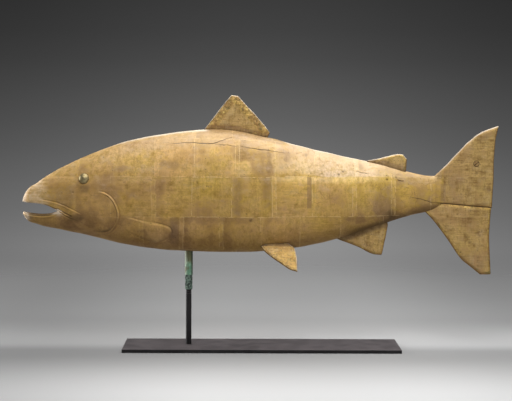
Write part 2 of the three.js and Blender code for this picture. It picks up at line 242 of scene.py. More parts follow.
def ease(value, low, high):
    """0 up to low, 1 from high, smooth between them."""
    t = np.clip((value - low) / (high - low), 0, 1)
    return t * t * (3 - 2 * t)


def bump(value, width):
    return np.exp(-((value / width) ** 2))


def waves(points, length, seed, count=7):
    """A smooth random field of about -1 to 1, whose swells are about length apart."""
    rng = np.random.default_rng(seed)
    total = np.zeros(len(points))
    for _ in range(count):
        heading = rng.normal(size=3)
        heading *= 2 * math.pi / (length * rng.uniform(0.7, 1.5) * np.linalg.norm(heading))
        total += np.sin(points @ heading + rng.uniform(0, 2 * math.pi))
    return total / math.sqrt(count)


def through(points, steps=8):
    """The curve through a run of points that the model's outlines use."""
    p = np.array(points, float)
    run = [p[0]]
    for i in range(len(p) - 1):
        before, after = p[max(i - 1, 0)], p[min(i + 2, len(p) - 1)]
        leave, arrive = (p[i + 1] - before) / 2, (after - p[i]) / 2
        for t in np.arange(1, steps + 1) / steps:
            run.append(
                (2 * p[i] - 2 * p[i + 1] + leave + arrive) * t**3
                + (3 * p[i + 1] - 3 * p[i] - 2 * leave - arrive) * t**2
                + leave * t
                + p[i]
            )
    return run


def outline(runs):
    """The closed outline through runs of points."""
    points = [np.array(runs[0][0], float)]
    for run in runs[1:]:
        points += through([points[-1], *run])[1:] if len(run) > 1 else [np.array(run[0], float)]
    if np.linalg.norm(points[-1] - points[0]) < 0.01:
        points.pop()
    return np.array(points)


def resample(points, step, closed=True):
    """Points about step apart along a line, its corners kept."""
    ends = np.roll(points, -1, axis=0) if closed else points[1:]
    out = []
    for a, b in zip(points, ends):
        count = max(1, round(np.linalg.norm(b - a) / step))
        out += [a + (b - a) * k / count for k in range(count)]
    if not closed:
        out.append(points[-1])
    return np.array(out)


def thin_out(points, step):
    """Leaves out points of a closed line that crowd closer than step, apart from its sharp corners."""
    kept = [points[0]]
    for i in range(1, len(points)):
        a, b = points[i] - points[i - 1], points[(i + 1) % len(points)] - points[i]
        turn = abs(math.atan2(a[0] * b[1] - a[1] * b[0], a @ b))
        if turn > 0.5 or np.linalg.norm(points[i] - kept[-1]) >= step:
            kept.append(points[i])
    return np.array(kept)


def side_view(x, z):
    return np.stack([x, z], 1)


def at_y(flat, y):
    """Points of the side view as [x, y, z]."""
    return np.stack([flat[:, 0], np.broadcast_to(y, len(flat)), flat[:, 1]], 1)


def left_of(along):
    """Unit vectors to the left of each direction in the side view."""
    across = np.stack([-along[:, 1], along[:, 0]], 1)
    return across / np.maximum(np.linalg.norm(along, axis=1), 1e-9)[:, None]


def inward(line):
    """Unit vectors into a closed outline at its points."""
    ahead = np.roll(line, -1, axis=0)
    area = (line[:, 0] * ahead[:, 1] - ahead[:, 0] * line[:, 1]).sum()
    return left_of(ahead - np.roll(line, 1, axis=0)) * np.sign(area)


def distance(points, line, closed=False):
    """How far each [x, z] is from a line."""
    ends = np.roll(line, -1, axis=0) if closed else line[1:]
    nearest = np.full(len(points), np.inf)
    for a, b in zip(line, ends):
        run = b - a
        t = np.clip((points - a) @ run / max(run @ run, 1e-9), 0, 1)
        nearest = np.minimum(nearest, np.linalg.norm(points - a - t[:, None] * run, axis=1))
    return nearest


def inside(points, line):
    """Whether each [x, z] is inside a closed outline."""
    odd = np.zeros(len(points), bool)
    for (ax, az), (bx, bz) in zip(line, np.roll(line, -1, axis=0)):
        crosses = (az > points[:, 1]) != (bz > points[:, 1])
        if az != bz:
            odd ^= crosses & (points[:, 0] < (bx - ax) * (points[:, 1] - az) / (bz - az) + ax)
    return odd


# The body's skin

def section(x):
    """The section at x: its widest level, its reach above and below that, and its upper curve's power."""
    top, bottom = back(x), belly(x)
    power = SECTION_POWER + (RIDGE_POWER - SECTION_POWER) * ease(x, RIDGE_FROM_X, RIDGE_TO_X)
    return (top + bottom) / 2, (top - bottom) / 2, power


def section_at(x, z):
    """The same three for points at x and z, with the power of their own side."""
    waist, reach, power = section(x)
    return waist, reach, np.where(z > waist, power, SECTION_POWER)


def skin(x, out, up):
    """Points of the skin at x, where out and up are the cosine and sine of the angle round the section."""
    waist, reach, power = section(x)
    soften = 2 / np.where(up > 0, power, SECTION_POWER)
    y = np.sign(out) * np.abs(out) ** soften * half(x)
    z = waist + np.sign(up) * np.abs(up) ** soften * reach
    return np.stack([x, y, z], axis=1)


def skin_y(x, z):
    """How far the skin stands out from the middle plane at x and z."""
    waist, reach, power = section_at(x, z)
    return half(x) * (1 - np.clip(np.abs(z - waist) / reach, 0, 1) ** power) ** (1 / power)


def skin_depth(points):
    """About how far points are under the skin."""
    x, y, z = points.T
    waist, reach, power = section_at(x, z)
    share = ((np.abs(y) / half(x)) ** power + (np.abs(z - waist) / reach) ** power) ** (1 / power)
    return (1 - share) * np.hypot(y, z - waist)


def girth(x, z, steps=20):
    """Distance along the skin from the middle level of the leaves up to z, less than 0 below it."""
    waist, reach, power = section_at(x, z)
    share = np.clip(np.abs(z - waist) / reach, 0, 1)
    widest = np.arcsin(share ** (power / 2))
    length = np.zeros(len(x))
    last = np.stack([half(x), np.zeros(len(x))])
    for k in range(1, steps + 1):
        angle = widest * k / steps
        point = np.stack([np.cos(angle) ** (2 / power) * half(x), np.sin(angle) ** (2 / power) * reach])
        length += np.hypot(*(point - last))
        last = point
    return np.sign(z - waist) * length + waist - LEAF_LEVEL


# Carving in low relief: each gives its height over the skin, the painted shade of its grooves and of the
# shadows it casts, and the painted highlight along its ridges where the light catches them

mouth_line = outline(MOUTH)
pectoral_line = outline(PECTORAL)
strap_top, strap_bottom = fair(STRAP_TOP), fair(STRAP_BOTTOM)
strap_fold = np.array(STRAP_FOLD, float)


def gill(x, z):
    angle = np.degrees(np.arctan2(z - GILL_Z, x - GILL_X))
    radius = GILL_RADIUS + 6.5 * ease(angle, 15, 85) - 3 * ease(angle, -50, -95)
    off = np.hypot(x - GILL_X, z - GILL_Z) - radius
    strength = ease(angle, -118, -92) * ease(angle, 98, 74)
    cover = 1.2 * ease(off, -30, -2) * ease(off, 1.6, -0.4)
    bead = 0.7 * bump(off + 0.7, 1.0) * ease(angle, -70, -10) * ease(angle, 82, 50)
    grooves = 0.45 * bump(off + 3.4, 1.2) + 0.5 * bump(off - 2.2, 1.1)
    lit = ease(angle, -40, 20)
    shaded = 2.4 * bump(off + 5, 3.2) * bump(angle + 70, 24)
    return strength * (cover + bead - grooves), strength * grooves + shaded, strength * bead * lit


def strap(x, z):
    top, bottom = strap_top(x), strap_bottom(x)
    strength = ease(x, -438, -424) * ease(x, -348, -362)
    band = 0.4 * ease(z, bottom - 1, bottom + 2) * ease(z, top + 1.4, top - 0.6)
    bead = 0.16 * bump(z - top + 0.9, 0.8)
    lower = ease(x, -398, -388) * ease(x, -366, -378)
    lower_bead = 0.5 * bump(z - bottom - 1.4, 1.0) * lower
    fold = 1.3 * bump(distance(side_view(x, z), strap_fold), 1.3)
    upper_groove = 0.5 * bump(z - top - 2.2, 1.3)
    lower_groove = 0.7 * bump(z - bottom + 2, 1.3) * lower
    grooves = fold + upper_groove + lower_groove
    # Painted shade in the fold and grooves, a real smudge below the strap's end, and a painted highlight on
    # the beads
    dark = strength * (1.4 * fold + 0.8 * upper_groove + lower_groove)
    dark += 2.0 * patch(x, z, -376, -346, 254, 266, 6)
    lit = 1.8 * bump(x + 406, 11) + 0.15
    return strength * (band + bead + lower_bead - grooves), dark, strength * lit * (bead + lower_bead)


def pectoral(x, z):
    points = side_view(x, z)
    deep = distance(points, pectoral_line, closed=True) * np.where(inside(points, pectoral_line), 1, -1)
    strength = ease(x, -272, -196)
    uneven = 0.6 + 0.4 * np.sin(0.16 * x + 0.23 * z)
    plate = (0.35 + 0.7 * strength) * ease(deep, -1.0, 3.8) * ease(x, -270, -256)
    # Painted highlight on the bead along the upper edge and on the lower tip, and painted shadow beyond the
    # raised end
    above = ease(z, 232, 246)
    bead = 0.35 * bump(deep - 1.4, 1.1) * ease(x, -268, -250) * above * uneven
    groove = (0.3 + 0.4 * strength) * bump(deep + 1.6, 1.4) * ease(x, -268, -250) * uneven
    tip = bump(np.hypot(x + 203, z - 214), 9) * ease(deep, -0.5, 1.5)
    behind = 0.8 * bump(deep + 5, 5) * ease(x, -190, -172)
    return plate + bead - groove, groove + behind, 0.8 * bead + 0.5 * tip


def lips(x, z):
    points = side_view(x, z)
    off = distance(points, mouth_line, closed=True)
    lower = ease(z, 284, 276)
    groove = 0.6 * bump(off - 1.1, 1.5) * lower * ease(x, -392, -400)
    bead = 0.6 * bump(off - 4.4, 1.6) * lower * ease(x, -394, -408)
    rounding = 0.9 * bump(off, 1.2)
    return bead - groove - rounding, 5.5 * groove, 0.35 * bead


def holes(x, z, spots):
    """How deep the small holes are."""
    return sum(depth * bump(np.hypot(x - hx, z - hz), radius) for hx, hz, radius, depth in spots)


def carving(points):
    """At points of the body, the carving's height over the skin, its painted shade in grooves and cast
    shadows (with one real smudge by the strap), its painted highlight on ridges, and its holes.
    """
    x, y, z = points.T
    height, groove, ridge = np.zeros((3, len(x)))
    head = x < HEAD_END_X + 6
    for relief in (gill, strap, pectoral, lips):
        part_height, part_groove, part_ridge = relief(x[head], z[head])
        height[head] += part_height
        groove[head] += part_groove
        ridge[head] += part_ridge
    pits = holes(x, z, HOLES) * (y < 0)
    return height - pits, groove, ridge, pits


def unevenness(points):
    """Slow swells and faint tool marks of hand carving."""
    return 0.55 * waves(points, 120, 3) + 0.22 * waves(points, 42, 4) + 0.07 * waves(points, 13, 5)


# Meshes

def mesh_object(name, points, faces):
    """An object whose mesh has points in millimetres, its faces turned outwards."""
    mesh = bpy.data.meshes.new(name)
    mesh.from_pydata(np.asarray(points, float) * MM, [], [tuple(map(int, face)) for face in faces])
    made = bpy.data.objects.new(name, mesh)
    bpy.context.scene.collection.objects.link(made)
    work = bmesh.new()
    work.from_mesh(mesh)
    bmesh.ops.recalc_face_normals(work, faces=work.faces)
    work.to_mesh(mesh)
    work.free()
    return made


def vectors(mesh, field="co"):
    """Each point's place or normal as an array."""
    flat = np.empty(len(mesh.vertices) * 3)
    mesh.vertices.foreach_get(field, flat)
    return flat.reshape(-1, 3)


def points_of(made):
    """The mesh's points in millimetres."""
    return vectors(made.data) / MM


def put_points(made, points):
    made.data.vertices.foreach_set("co", (points * MM).ravel())


def boolean(target, tool, operation="DIFFERENCE"):
    """Cuts tool out of target or joins it on, and removes tool."""
    modifier = target.modifiers.new("cut", "BOOLEAN")
    modifier.operation = operation
    modifier.object = tool
    modifier.solver = "MANIFOLD"
    made = bpy.data.meshes.new_from_object(target.evaluated_get(bpy.context.evaluated_depsgraph_get()))
    target.modifiers.clear()
    target.data = made
    bpy.data.objects.remove(tool)


def prism(line, low, high):
    """A straight-sided solid over an outline in the side view, from y = low to y = high."""
    count = len(line)
    points = [[x, y, z] for y in (low, high) for x, z in line]
    walls = [(i, (i + 1) % count, (i + 1) % count + count, i + count) for i in range(count)]
    return mesh_object("prism", points, [range(count), range(count, 2 * count), *walls])


def block(name, low, high):
    """A plain block between two corners."""
    points = [[x, y, z] for x in (low[0], high[0]) for y in (low[1], high[1]) for z in (low[2], high[2])]
    faces = [(0, 1, 3, 2), (4, 5, 7, 6), (0, 1, 5, 4), (2, 3, 7, 6), (0, 2, 6, 4), (1, 3, 7, 5)]
    return mesh_object(name, points, faces)


def turned(name, profile, around=48, shape=None):
    """A solid turned about Z from [radius, height] points that start and end on the axis.
    shape(angle, radius, height) may change each point's radius."""
    rows = []
    angles = 2 * math.pi * np.arange(around) / around
    points = []
    for radius, height in profile:
        if radius == 0:
            rows.append([len(points)] * around)
            points.append([0, 0, height])
            continue
        ring = np.full(around, float(radius)) if shape is None else shape(angles, radius, height)
        rows.append(list(range(len(points), len(points) + around)))
        points += [[r * math.cos(a), r * math.sin(a), height] for r, a in zip(ring, angles)]
    faces = []
    for low, high in zip(rows[:-1], rows[1:]):
        for j in range(around):
            k = (j + 1) % around
            corners = [low[j], low[k], high[k], high[j]]
            faces.append([c for i, c in enumerate(corners) if c not in corners[:i]])
    return mesh_object(name, points, faces)


def pin(radius, low, high):
    """A plain upright cylinder."""
    return turned("pin", [[0, low], [radius, low], [radius, high], [0, high]])


def board(name, line, thick, rim, bevel, step, relief, wobble=WOBBLE):
    """A flat board in the side view's plane, thick in the middle and rim thick near its rounded edge.
    relief(x, z, deep, side) adds height to each face, where deep is the distance from the edge."""
    rounding = 0.8 * rim / 2
    edge = thin_out(resample(line, step), step * 0.7)
    into = inward(edge)
    edge = edge + into * (wobble * (1 + waves(at_y(edge, 0.0), 22, 11)))[:, None]
    low, high = edge.min(0), edge.max(0)
    grid_x, grid_z = np.meshgrid(np.arange(low[0], high[0], step), np.arange(low[1], high[1], step * 0.87))
    grid_x[1::2] += step / 2
    grid = side_view(grid_x.ravel(), grid_z.ravel())
    inner = []
    for row_depth in EDGE_ROWS:
        row = edge + into * row_depth
        clear = distance(row, edge, closed=True) > 0.85 * row_depth
        inner.append(row[inside(row, edge) & clear])
    clear = distance(grid, edge, closed=True) > EDGE_ROWS[-1] + 0.6 * step
    inner.append(grid[inside(grid, edge) & clear])
    flat = np.concatenate([edge, *inner])
    ring = [(i, (i + 1) % len(edge)) for i in range(len(edge))]
    made = delaunay_2d_cdt([Vector(p) for p in flat], ring, [], 1, 1e-4)
    flat = np.array([tuple(p) for p in made[0]])
    faces = [tuple(face) for face in made[2]]
    deep = distance(flat, edge, closed=True)
    half_thick = rim / 2 + (thick - rim) / 2 * np.sin(np.clip(deep / bevel, 0, 1) * math.pi / 2)
    half_thick -= rounding * (1 - np.sqrt(1 - (1 - np.clip(deep / rounding, 0, 1)) ** 2))
    sides = []
    for side in (LEFT, RIGHT):
        height = half_thick + relief(*flat.T, deep, side) * ease(deep, 0, 1.5)
        sides.append(at_y(flat, side * height))
    count = len(flat)
    walls = [(a, b, b + count, a + count) for a, b in boundary_edges(faces)]
    back_faces = [tuple(i + count for i in reversed(face)) for face in faces]
    return mesh_object(name, np.concatenate(sides), faces + back_faces + walls)


def boundary_edges(faces):
    """The edges that only one face has."""
    seen = {}
    for face in faces:
        for a, b in zip(face, face[1:] + face[:1]):
            key = (min(a, b), max(a, b))
            seen[key] = None if key in seen else (a, b)
    return [edge for edge in seen.values() if edge]


def pelvic_place(points, side):
    """Moves points of the pelvic fin's own plane to its place on one side of the belly."""
    tilt = Matrix.Rotation(side * PELVIC_SPLAY, 3, "X")
    return np.array([tilt @ Vector(p) for p in points]) + [0, side * PELVIC_Y, PELVIC_Z]


def crack(line, width, side, out=None):
    """A thin wedge that cuts a crack into the skin, or into a face out from the middle plane."""
    run = resample(np.array(line, float), 3.0, closed=False)
    run[:, 1] += 0.35 * waves(at_y(run, 0.0), 9, 21)
    across = left_of(np.gradient(run, axis=0))
    share = np.linspace(0, 1, len(run))
    open_half = 0.12 + width / 2 * np.sin(math.pi * share) ** 0.6
    if out is None:
        out = skin_y(*run.T)
    points = []
    for p, normal, gap, y in zip(run, across, open_half, np.broadcast_to(out, len(run))):
        for aside, reach in ((2, CRACK_REACH), (-2, CRACK_REACH), (0, -CRACK_REACH)):
            flat_x, flat_z = p + normal * gap * aside
            points.append([flat_x, side * (y + reach), flat_z])
    faces = [(0, 1, 2), tuple(len(points) - 3 + i for i in (2, 1, 0))]
    for i in range(0, len(points) - 3, 3):
        for a, b in ((0, 1), (1, 2), (2, 0)):
            faces.append((i + a, i + b, i + 3 + b, i + 3 + a))
    return mesh_object("crack", points, faces)


# The carved body

def straight_skin():
    """A mesh of the skin as a straight cylinder of [x, out, up], rounded off at the nose."""
    stations = [NOSE_X + NOSE_ROUND]
    while stations[-1] < BODY_END_X:
        step = HEAD_RING_STEP if stations[-1] < HEAD_END_X else TRUNK_RING_STEP
        stations.append(min(stations[-1] + step, BODY_END_X))
    dome = [math.radians(a) for a in (12, 28, 45, 62, 78)]
    rings = [(NOSE_X + NOSE_ROUND * (1 - math.cos(a)), math.sin(a)) for a in dome]
    rings += [(x, 1.0) for x in stations]
    angles = 2 * math.pi * (np.arange(AROUND) + 0.5) / AROUND
    points = [[x, r * math.cos(a), r * math.sin(a)] for x, r in rings for a in angles]
    nose, end, last = len(points), len(points) + 1, len(points) - AROUND
    points += [[NOSE_X, 0, 0], [BODY_END_X, 0, 0]]
    sides = [(j, (j + 1) % AROUND) for j in range(AROUND)]
    faces = [(i + j, i + k, i + AROUND + k, i + AROUND + j) for i in range(0, last, AROUND) for j, k in sides]
    for j, k in sides:
        faces += [(nose, k, j), (end, last + j, last + k)]
    mesh = bpy.data.meshes.new("skin")
    mesh.from_pydata(points, [], faces)
    return mesh


def body_skin():
    """The body's skin with its carving, finer where the carving is."""
    mesh = straight_skin()
    work = bmesh.new()
    work.from_mesh(mesh)
    for reach in FINER_WITHIN:
        centres = np.array([tuple(face.calc_center_median()) for face in work.faces])
        close = near_carving(on_skin(centres)) < reach
        edges = {edge for face, is_close in zip(work.faces, close) if is_close for edge in face.edges}
        bmesh.ops.subdivide_edges(work, edges=list(edges), cuts=1, use_grid_fill=True)
        work.faces.ensure_lookup_table()
    work.to_mesh(mesh)
    work.free()
    placed = on_skin(vectors(mesh))
    mesh.vertices.foreach_set("co", placed.ravel())
    mesh.update()
    fade = ease(placed[:, 0], NOSE_X, NOSE_X + 40) * ease(placed[:, 0], 350, 300)
    height = carving(placed)[0] + (unevenness(placed) - 0.5) * fade
    placed += vectors(mesh, "normal") * height[:, None]
    return mesh_object("body", placed, [tuple(p.vertices) for p in mesh.polygons])


def on_skin(points):
    """Points of the straight cylinder [x, out, up] brought to the body's skin."""
    x, out, up = points.T
    scale = np.hypot(out, up)
    safe = np.maximum(scale, 1e-9)
    placed = skin(x, out / safe, up / safe)
    middle = section(x)[0]
    shrink = np.minimum(scale, 1)
    placed[:, 1] *= shrink
    placed[:, 2] = middle + (placed[:, 2] - middle) * shrink
    return placed


def near_carving(points):
    """How far points of the skin are from the nearest carved line or hole."""
    x, y, z = points.T
    flat = side_view(x, z)
    near = np.abs(np.hypot(x - GILL_X, z - GILL_Z) - GILL_RADIUS - 2) - 3 + 20 * (x < GILL_X - 12)
    for line, closed in ((pectoral_line, True), (mouth_line, True), (strap_fold, False)):
        near = np.minimum(near, distance(flat, line, closed))
    on_strap = (x > -442) & (x < -344)
    for edge in (strap_top, strap_bottom):
        near = np.minimum(near, np.where(on_strap, np.abs(z - edge(x)), np.inf))
    for hx, hz, radius, _ in HOLES:
        near = np.minimum(near, np.where(y < 0, np.hypot(x - hx, z - hz) - radius, np.inf))
    return near


def tail_relief(spots):
    def relief(x, z, deep, side):
        points = at_y(side_view(x, z), side * FACES_APART)
        height = 0.18 * waves(points, 30, 31) + 0.07 * waves(points, 8, 32)
        return height - (holes(x, z, spots) if side == LEFT else 0)
    return relief


def rim_relief(band, rough):
    """Lumps along the edge of a fin, in a band that wide."""
    def relief(x, z, deep, side):
        points = at_y(side_view(x, z), side * FACES_APART)
        lumps = rough * (waves(points, 7, 41) + 0.7 * waves(points, 3.8, 42))
        return lumps * ease(deep, band, band * 0.6) + 0.08 * waves(points, 18, 43)
    return relief


def seat(line, thick, seam=SEAM):
    return prism(line - inward(line) * seam, -thick / 2 - seam, thick / 2 + seam)


def eye_turn(side):
    """The turn that stands a piece's axis square to the skin at the eye, and the point there."""
    step = 2.0
    x = EYE_X + step * np.array([1, -1, 0, 0, 0])
    z = EYE_Z + step * np.array([0, 0, 1, -1, 0])
    out = skin_y(x, z)
    normal = Vector((-(out[0] - out[1]) / (2 * step), side, -(out[2] - out[3]) / (2 * step))).normalized()
    place = Vector((EYE_X, side * out[4], EYE_Z))
    return Matrix.Translation(place) @ Vector((0, 0, 1)).rotation_difference(normal).to_matrix().to_4x4()


def moved(made, matrix):
    """Moves a mesh by a matrix in millimetres."""
    scaled = matrix.copy()
    scaled.translation = matrix.translation * MM
    made.data.transform(scaled)
    return made


SCREW_PLACE = Matrix.Translation((SCREW_X, -TAIL_THICK / 2, SCREW_Z)) @ Matrix.Rotation(math.pi / 2, 4, "X")
ROD_PLACE = Matrix.Translation((ROD_X, 0, 0))


def groove_lobe_joint(made):
    """Cuts the groove along the joint of the tail's two boards, on both faces."""
    for side in (LEFT, RIGHT):
        boolean(made, crack(LOBE_JOINT, 0.6, side, TAIL_THICK / 2))


def seats():
    """What is cut out of the body: the mouth, and seats for all that is let into it."""
    yield prism(mouth_line, -MOUTH_REACH, MOUTH_REACH)
    for runs in (DORSAL, ADIPOSE, ANAL):
        yield seat(outline(runs), FIN_THICK)
    yield seat(outline(TAIL_LOWER), TAIL_THICK, LOBE_SEAM)
    yield moved(pin(TUBE_RADIUS + 0.6, TUBE_BOTTOM, TUBE_TOP + 1), ROD_PLACE)
    wide, deep = SCREW_RADIUS + 0.8, -SCREW_DEPTH - 1
    profile = [[0, deep], [3, deep], [3, -3.6], [wide, -0.5], [wide, 2], [0, 2]]
    yield moved(turned("seat", profile), SCREW_PLACE)
    for side in (LEFT, RIGHT):
        yield moved(pin(EYE_RADIUS + 0.5, -4, 9), eye_turn(side))
        fin = seat(outline(PELVIC), PELVIC_THICK)
        put_points(fin, pelvic_place(points_of(fin), side))
        yield fin


def carved_body():
    made = body_skin()
    relief = tail_relief(TAIL_HOLES)
    boolean(made, board("tail", outline(TAIL_UPPER), TAIL_THICK, BOARD_RIM, 7, 2.2, relief), "UNION")
    for cut in seats():
        boolean(made, cut)
    groove_lobe_joint(made)
    for side, cracks in ((LEFT, CRACKS), (RIGHT, RIGHT_CRACKS)):
        for line, width in cracks:
            boolean(made, crack(line, width, side))
    made.name = "carved_body"
    mask_body(made)
    finish_piece(made, gold, "vane", "fish_body")


# Paint masks on the gilded pieces

def store(made, **masks):
    """Stores masks by name: one number for the whole mesh, or one or three for each of its points."""
    for name, values in masks.items():
        is_vector = np.ndim(values) == 2
        attribute = made.data.attributes.new(name, "FLOAT_VECTOR" if is_vector else "FLOAT", "POINT")
        flat = np.ravel(values) if is_vector else np.broadcast_to(values, len(made.data.vertices))
        attribute.data.foreach_set("vector" if is_vector else "value", np.ascontiguousarray(flat, np.float32))


def patch(x, z, low_x, high_x, low_z, high_z, soft):
    """1 inside a rectangle of the side view, with soft edges."""
    across = ease(x, low_x - soft, low_x + soft) * ease(x, high_x + soft, high_x - soft)
    return across * ease(z, low_z - soft, low_z + soft) * ease(z, high_z + soft, high_z - soft)


def patches(x, z, table):
    return [strength * patch(x, z, *sides) for *sides, strength in table]


def chalky(x, z, depth):
    """Pale patches at the tips of both jaws, partly gold rubbed down to the pale ground and partly painted
    highlight, and a painted highlight on the inner wall at the corner of the mouth.
    """
    nose = 0.5 * ease(x + 0.25 * (z - 290), -405, -430) + 0.5 * ease(x + 0.1 * (z - 290), -452, -468)
    jaw = 1.8 * bump(np.hypot(x + 467, (z - 264) / 1.2), 11)
    corner = 3.0 * bump(np.hypot((x + 399) / 1.6, z - 272), 6) * ease(depth, 0.1, 1.2)
    return np.maximum.reduce([nose * ease(z, 284, 288), jaw, corner])


def from_joint(x, z):
    """Distance from the joint of the tail's two boards."""
    return distance(side_view(x, z), np.array(LOBE_JOINT))


def joint_dirt(x, z):
    return 0.6 * ease(from_joint(x, z), 1.3, 0.6)


def edge_wear(x, z, line):
    """How near a board's edge a point is."""
    return ease(distance(side_view(x, z), line, closed=True), 2.6, 0.8)


def mask_body(made):
    points = points_of(made)
    x, y, z = points.T
    _, groove, ridge, pits = carving(points)
    depth, over_belly = skin_depth(points), z - belly(x)
    on_tail = ease(x, TAIL_ROOT_X, TAIL_ROOT_X + 16)
    off_tail = 1 - on_tail
    up = np.where(x < TAIL_ROOT_X + 8, girth(x, z), z - LEAF_LEVEL)
    chalk = chalky(x, z, depth)

    # Painted shade in the carved grooves, behind raised carving and in the small holes, with one real smudge
    # by the strap, less at the pale tips
    dirt = (0.3 * groove + 0.6 * pits) * off_tail * (1 - 0.9 * np.minimum(chalk, 1))
    # Painted shade on the walls inside the cuts
    buried = ease(depth, 1.6, 2.6) * (x < 345) * (x > -390)
    sunk = ease(np.abs(y), TAIL_THICK / 2 - 0.2, TAIL_THICK / 2 - 0.9)
    ring = sunk * ease(np.hypot(x - SCREW_X, z - SCREW_Z), SCREW_RADIUS + 2, SCREW_RADIUS + 1)
    # Dark joints and the gap round the screw, with the painted shade inside the cuts
    seams = np.maximum.reduce([joint_dirt(x, z), ring, 0.8 * buried])
    # Darker in the holes of the tail's left face
    spots = 0.9 * holes(x, z, TAIL_HOLES) * (y < 0)
    # Painted shade along the underside of the belly by the anal fin and towards the tail, and a real greenish
    # stain under the eye
    under = 0.8 * ease(x, 140, 200) * ease(x, 300, 262) * ease(over_belly, 17, 3)
    under += 0.45 * ease(x, 262, 300) * off_tail * ease(over_belly, 15, 3)
    under += 0.4 * patch(x, z, *UNDER_EYE)

    # Painted shadow along the back beside the dorsal fin's root
    beside_dorsal = 0.9 * ease(z - back(x), -11, -4) * ease(x, -114, -98) * ease(x, 60, 44)
    stain = np.maximum.reduce([*patches(x, z, STAINS), beside_dorsal])
    store(
        made,
        leaf=np.stack([x, up, np.sign(y)], 1),
        grime=np.clip(dirt + seams + spots + under, 0, 1),
        polish=np.clip(0.7 * ridge * off_tail, 0, 1),
        edge=on_tail * edge_wear(x, z, outline(TAIL_UPPER)),
        chalk=chalk,
        stain=stain - 0.8 * sum(patches(x, z, CLEAN_GOLD)),
        fin=on_tail,
    )


def mask_fin(
    made, line, band, jointed=False, spots=(), root=None, root_dirt=4, tip_polish=0, clean=0, mottled=0
):
    """A fin's masks. Its edge is rough in a band that wide, it has small holes at spots, and it is browner
    near its root and darker up to root_dirt from it, where root(x, z) is the distance: painted shade with
    some dirt. jointed marks the tail's lower lobe."""
    x, y, z = points_of(made).T
    rough = ease(distance(side_view(x, z), line, closed=True), band, band * 0.5)
    edge = edge_wear(x, z, line)
    grime = 0.9 * holes(x, z, spots) * (y < 0)
    stain = np.zeros(len(x))
    if root:
        # Browner and darker near the root: painted shade with some dirt
        stain = ease(root(x, z), 13, 4)
        grime = np.maximum(grime, 0.45 * ease(root(x, z), root_dirt, 0))
    if jointed:
        edge *= ease(from_joint(x, z), 3, 6)
        grime = np.maximum(grime, joint_dirt(x, z))
        stain = 0.5 * ease(z, 235, 170)
    store(
        made,
        leaf=np.stack([x, z - LEAF_LEVEL, np.sign(y)], 1),
        grime=np.clip(grime, 0, 1),
        polish=tip_polish * ease(x, *PELVIC_TIP),
        stain=stain - clean * (1 - stain),
        edge=edge,
        fin=1 + np.maximum(rough, mottled),
    )


# Materials

class Shader:
    """A material's nodes, made by small calls that return sockets."""

    def __init__(self, name, tree=None):
        if tree:
            self.tree = tree
            return
        self.material = bpy.data.materials.new(name)
        self.material.use_nodes = True
        self.tree = self.material.node_tree
        self.tree.nodes.clear()
        self.surface = self.add("BsdfPrincipled")
        output = self.add("OutputMaterial")
        self.tree.links.new(self.surface.outputs["BSDF"], output.inputs["Surface"])

    def add(self, kind, inputs=None, **settings):
        node = self.tree.nodes.new("ShaderNode" + kind)
        for name, value in settings.items():
            setattr(node, name, value)
        for name, value in (inputs or {}).items():
            self.put(node.inputs[name], value)
        return node

    def put(self, socket, value):
        if isinstance(value, bpy.types.NodeSocket):
            self.tree.links.new(value, socket)
        else:
            socket.default_value = value

    def set(self, **values):
        for name, value in values.items():
            self.put(self.surface.inputs[name.replace("_", " ")], value)

    def object_place(self):
        return self.add("TexCoord").outputs["Object"]

    def facing_up(self):
        return self.parts(self.add("NewGeometry").outputs["Normal"])[2]

    def mask(self, name, output="Fac"):
        return self.add("Attribute", attribute_name=name).outputs[output]

    def math(self, operation, a, b=0.0, clamp=False):
        return self.add("Math", {0: a, 1: b}, operation=operation, use_clamp=clamp).outputs[0]

    def sum(self, *values):
        """The sum of values, where one given as (value, weight) is multiplied by its weight first."""
        values = [self.times(*value) if isinstance(value, tuple) else value for value in values]
        return reduce(lambda a, b: self.math("ADD", a, b), values)

    def times(self, *values):
        """The product of values, where one given as (value, low, high, start, end) is eased first."""
        values = [self.ease(*value) if isinstance(value, tuple) else value for value in values]
        return reduce(lambda a, b: self.math("MULTIPLY", a, b), values)

    def most(self, *values):
        return reduce(lambda a, b: self.math("MAXIMUM", a, b), values)

    def clamped(self, value):
        return self.math("ADD", value, 0.0, clamp=True)

    def ease(self, value, low, high, start=0.0, end=1.0, kind="SMOOTHSTEP"):
        inputs = {"Value": value, "From Min": low, "From Max": high, "To Min": start, "To Max": end}
        return self.add("MapRange", inputs, interpolation_type=kind).outputs[0]

    def swing(self, value, reach=0.22):
        """A noise about 0.5 turned into one from -1 to 1."""
        return self.ease(value, 0.5 - reach, 0.5 + reach, -1.0, 1.0, "LINEAR")

    def stretched(self, vector, x, y, z):
        return self.add("VectorMath", {0: vector, 1: (x, y, z)}, operation="MULTIPLY").outputs[0]

    def noise(self, vector, scale, detail=3.0, roughness=0.55, output=0):
        inputs = {"Vector": vector, "Scale": scale, "Detail": detail, "Roughness": roughness}
        return self.add("TexNoise", inputs).outputs[output]

    def mix(self, share, a, b, mode="MIX"):
        node = self.add("Mix", data_type="RGBA", blend_type=mode)
        for socket, value in zip((0, 6, 7), (share, a, b)):
            self.put(node.inputs[socket], (*value, 1) if isinstance(value, tuple) else value)
        return node.outputs[2]

    def covered(self, colour, layers):
        """The colour under layers of [share, tone], the first layer lowest."""
        for share, tone in layers:
            colour = self.mix(share, colour, tone)
        return colour

    def parts(self, vector):
        return self.add("SeparateXYZ", {0: vector}).outputs

    def near(self, value, number):
        """1 where the value is that whole number, otherwise 0."""
        return self.add("Math", {0: value, 1: number, 2: 0.1}, operation="COMPARE").outputs[0]

    def vector(self, x, y, z):
        return self.add("CombineXYZ", {0: x, 1: y, 2: z}).outputs[0]

    def bump(self, height, distance, strength):
        inputs = {"Height": height, "Distance": distance, "Strength": strength}
        return self.add("Bump", inputs).outputs[0]


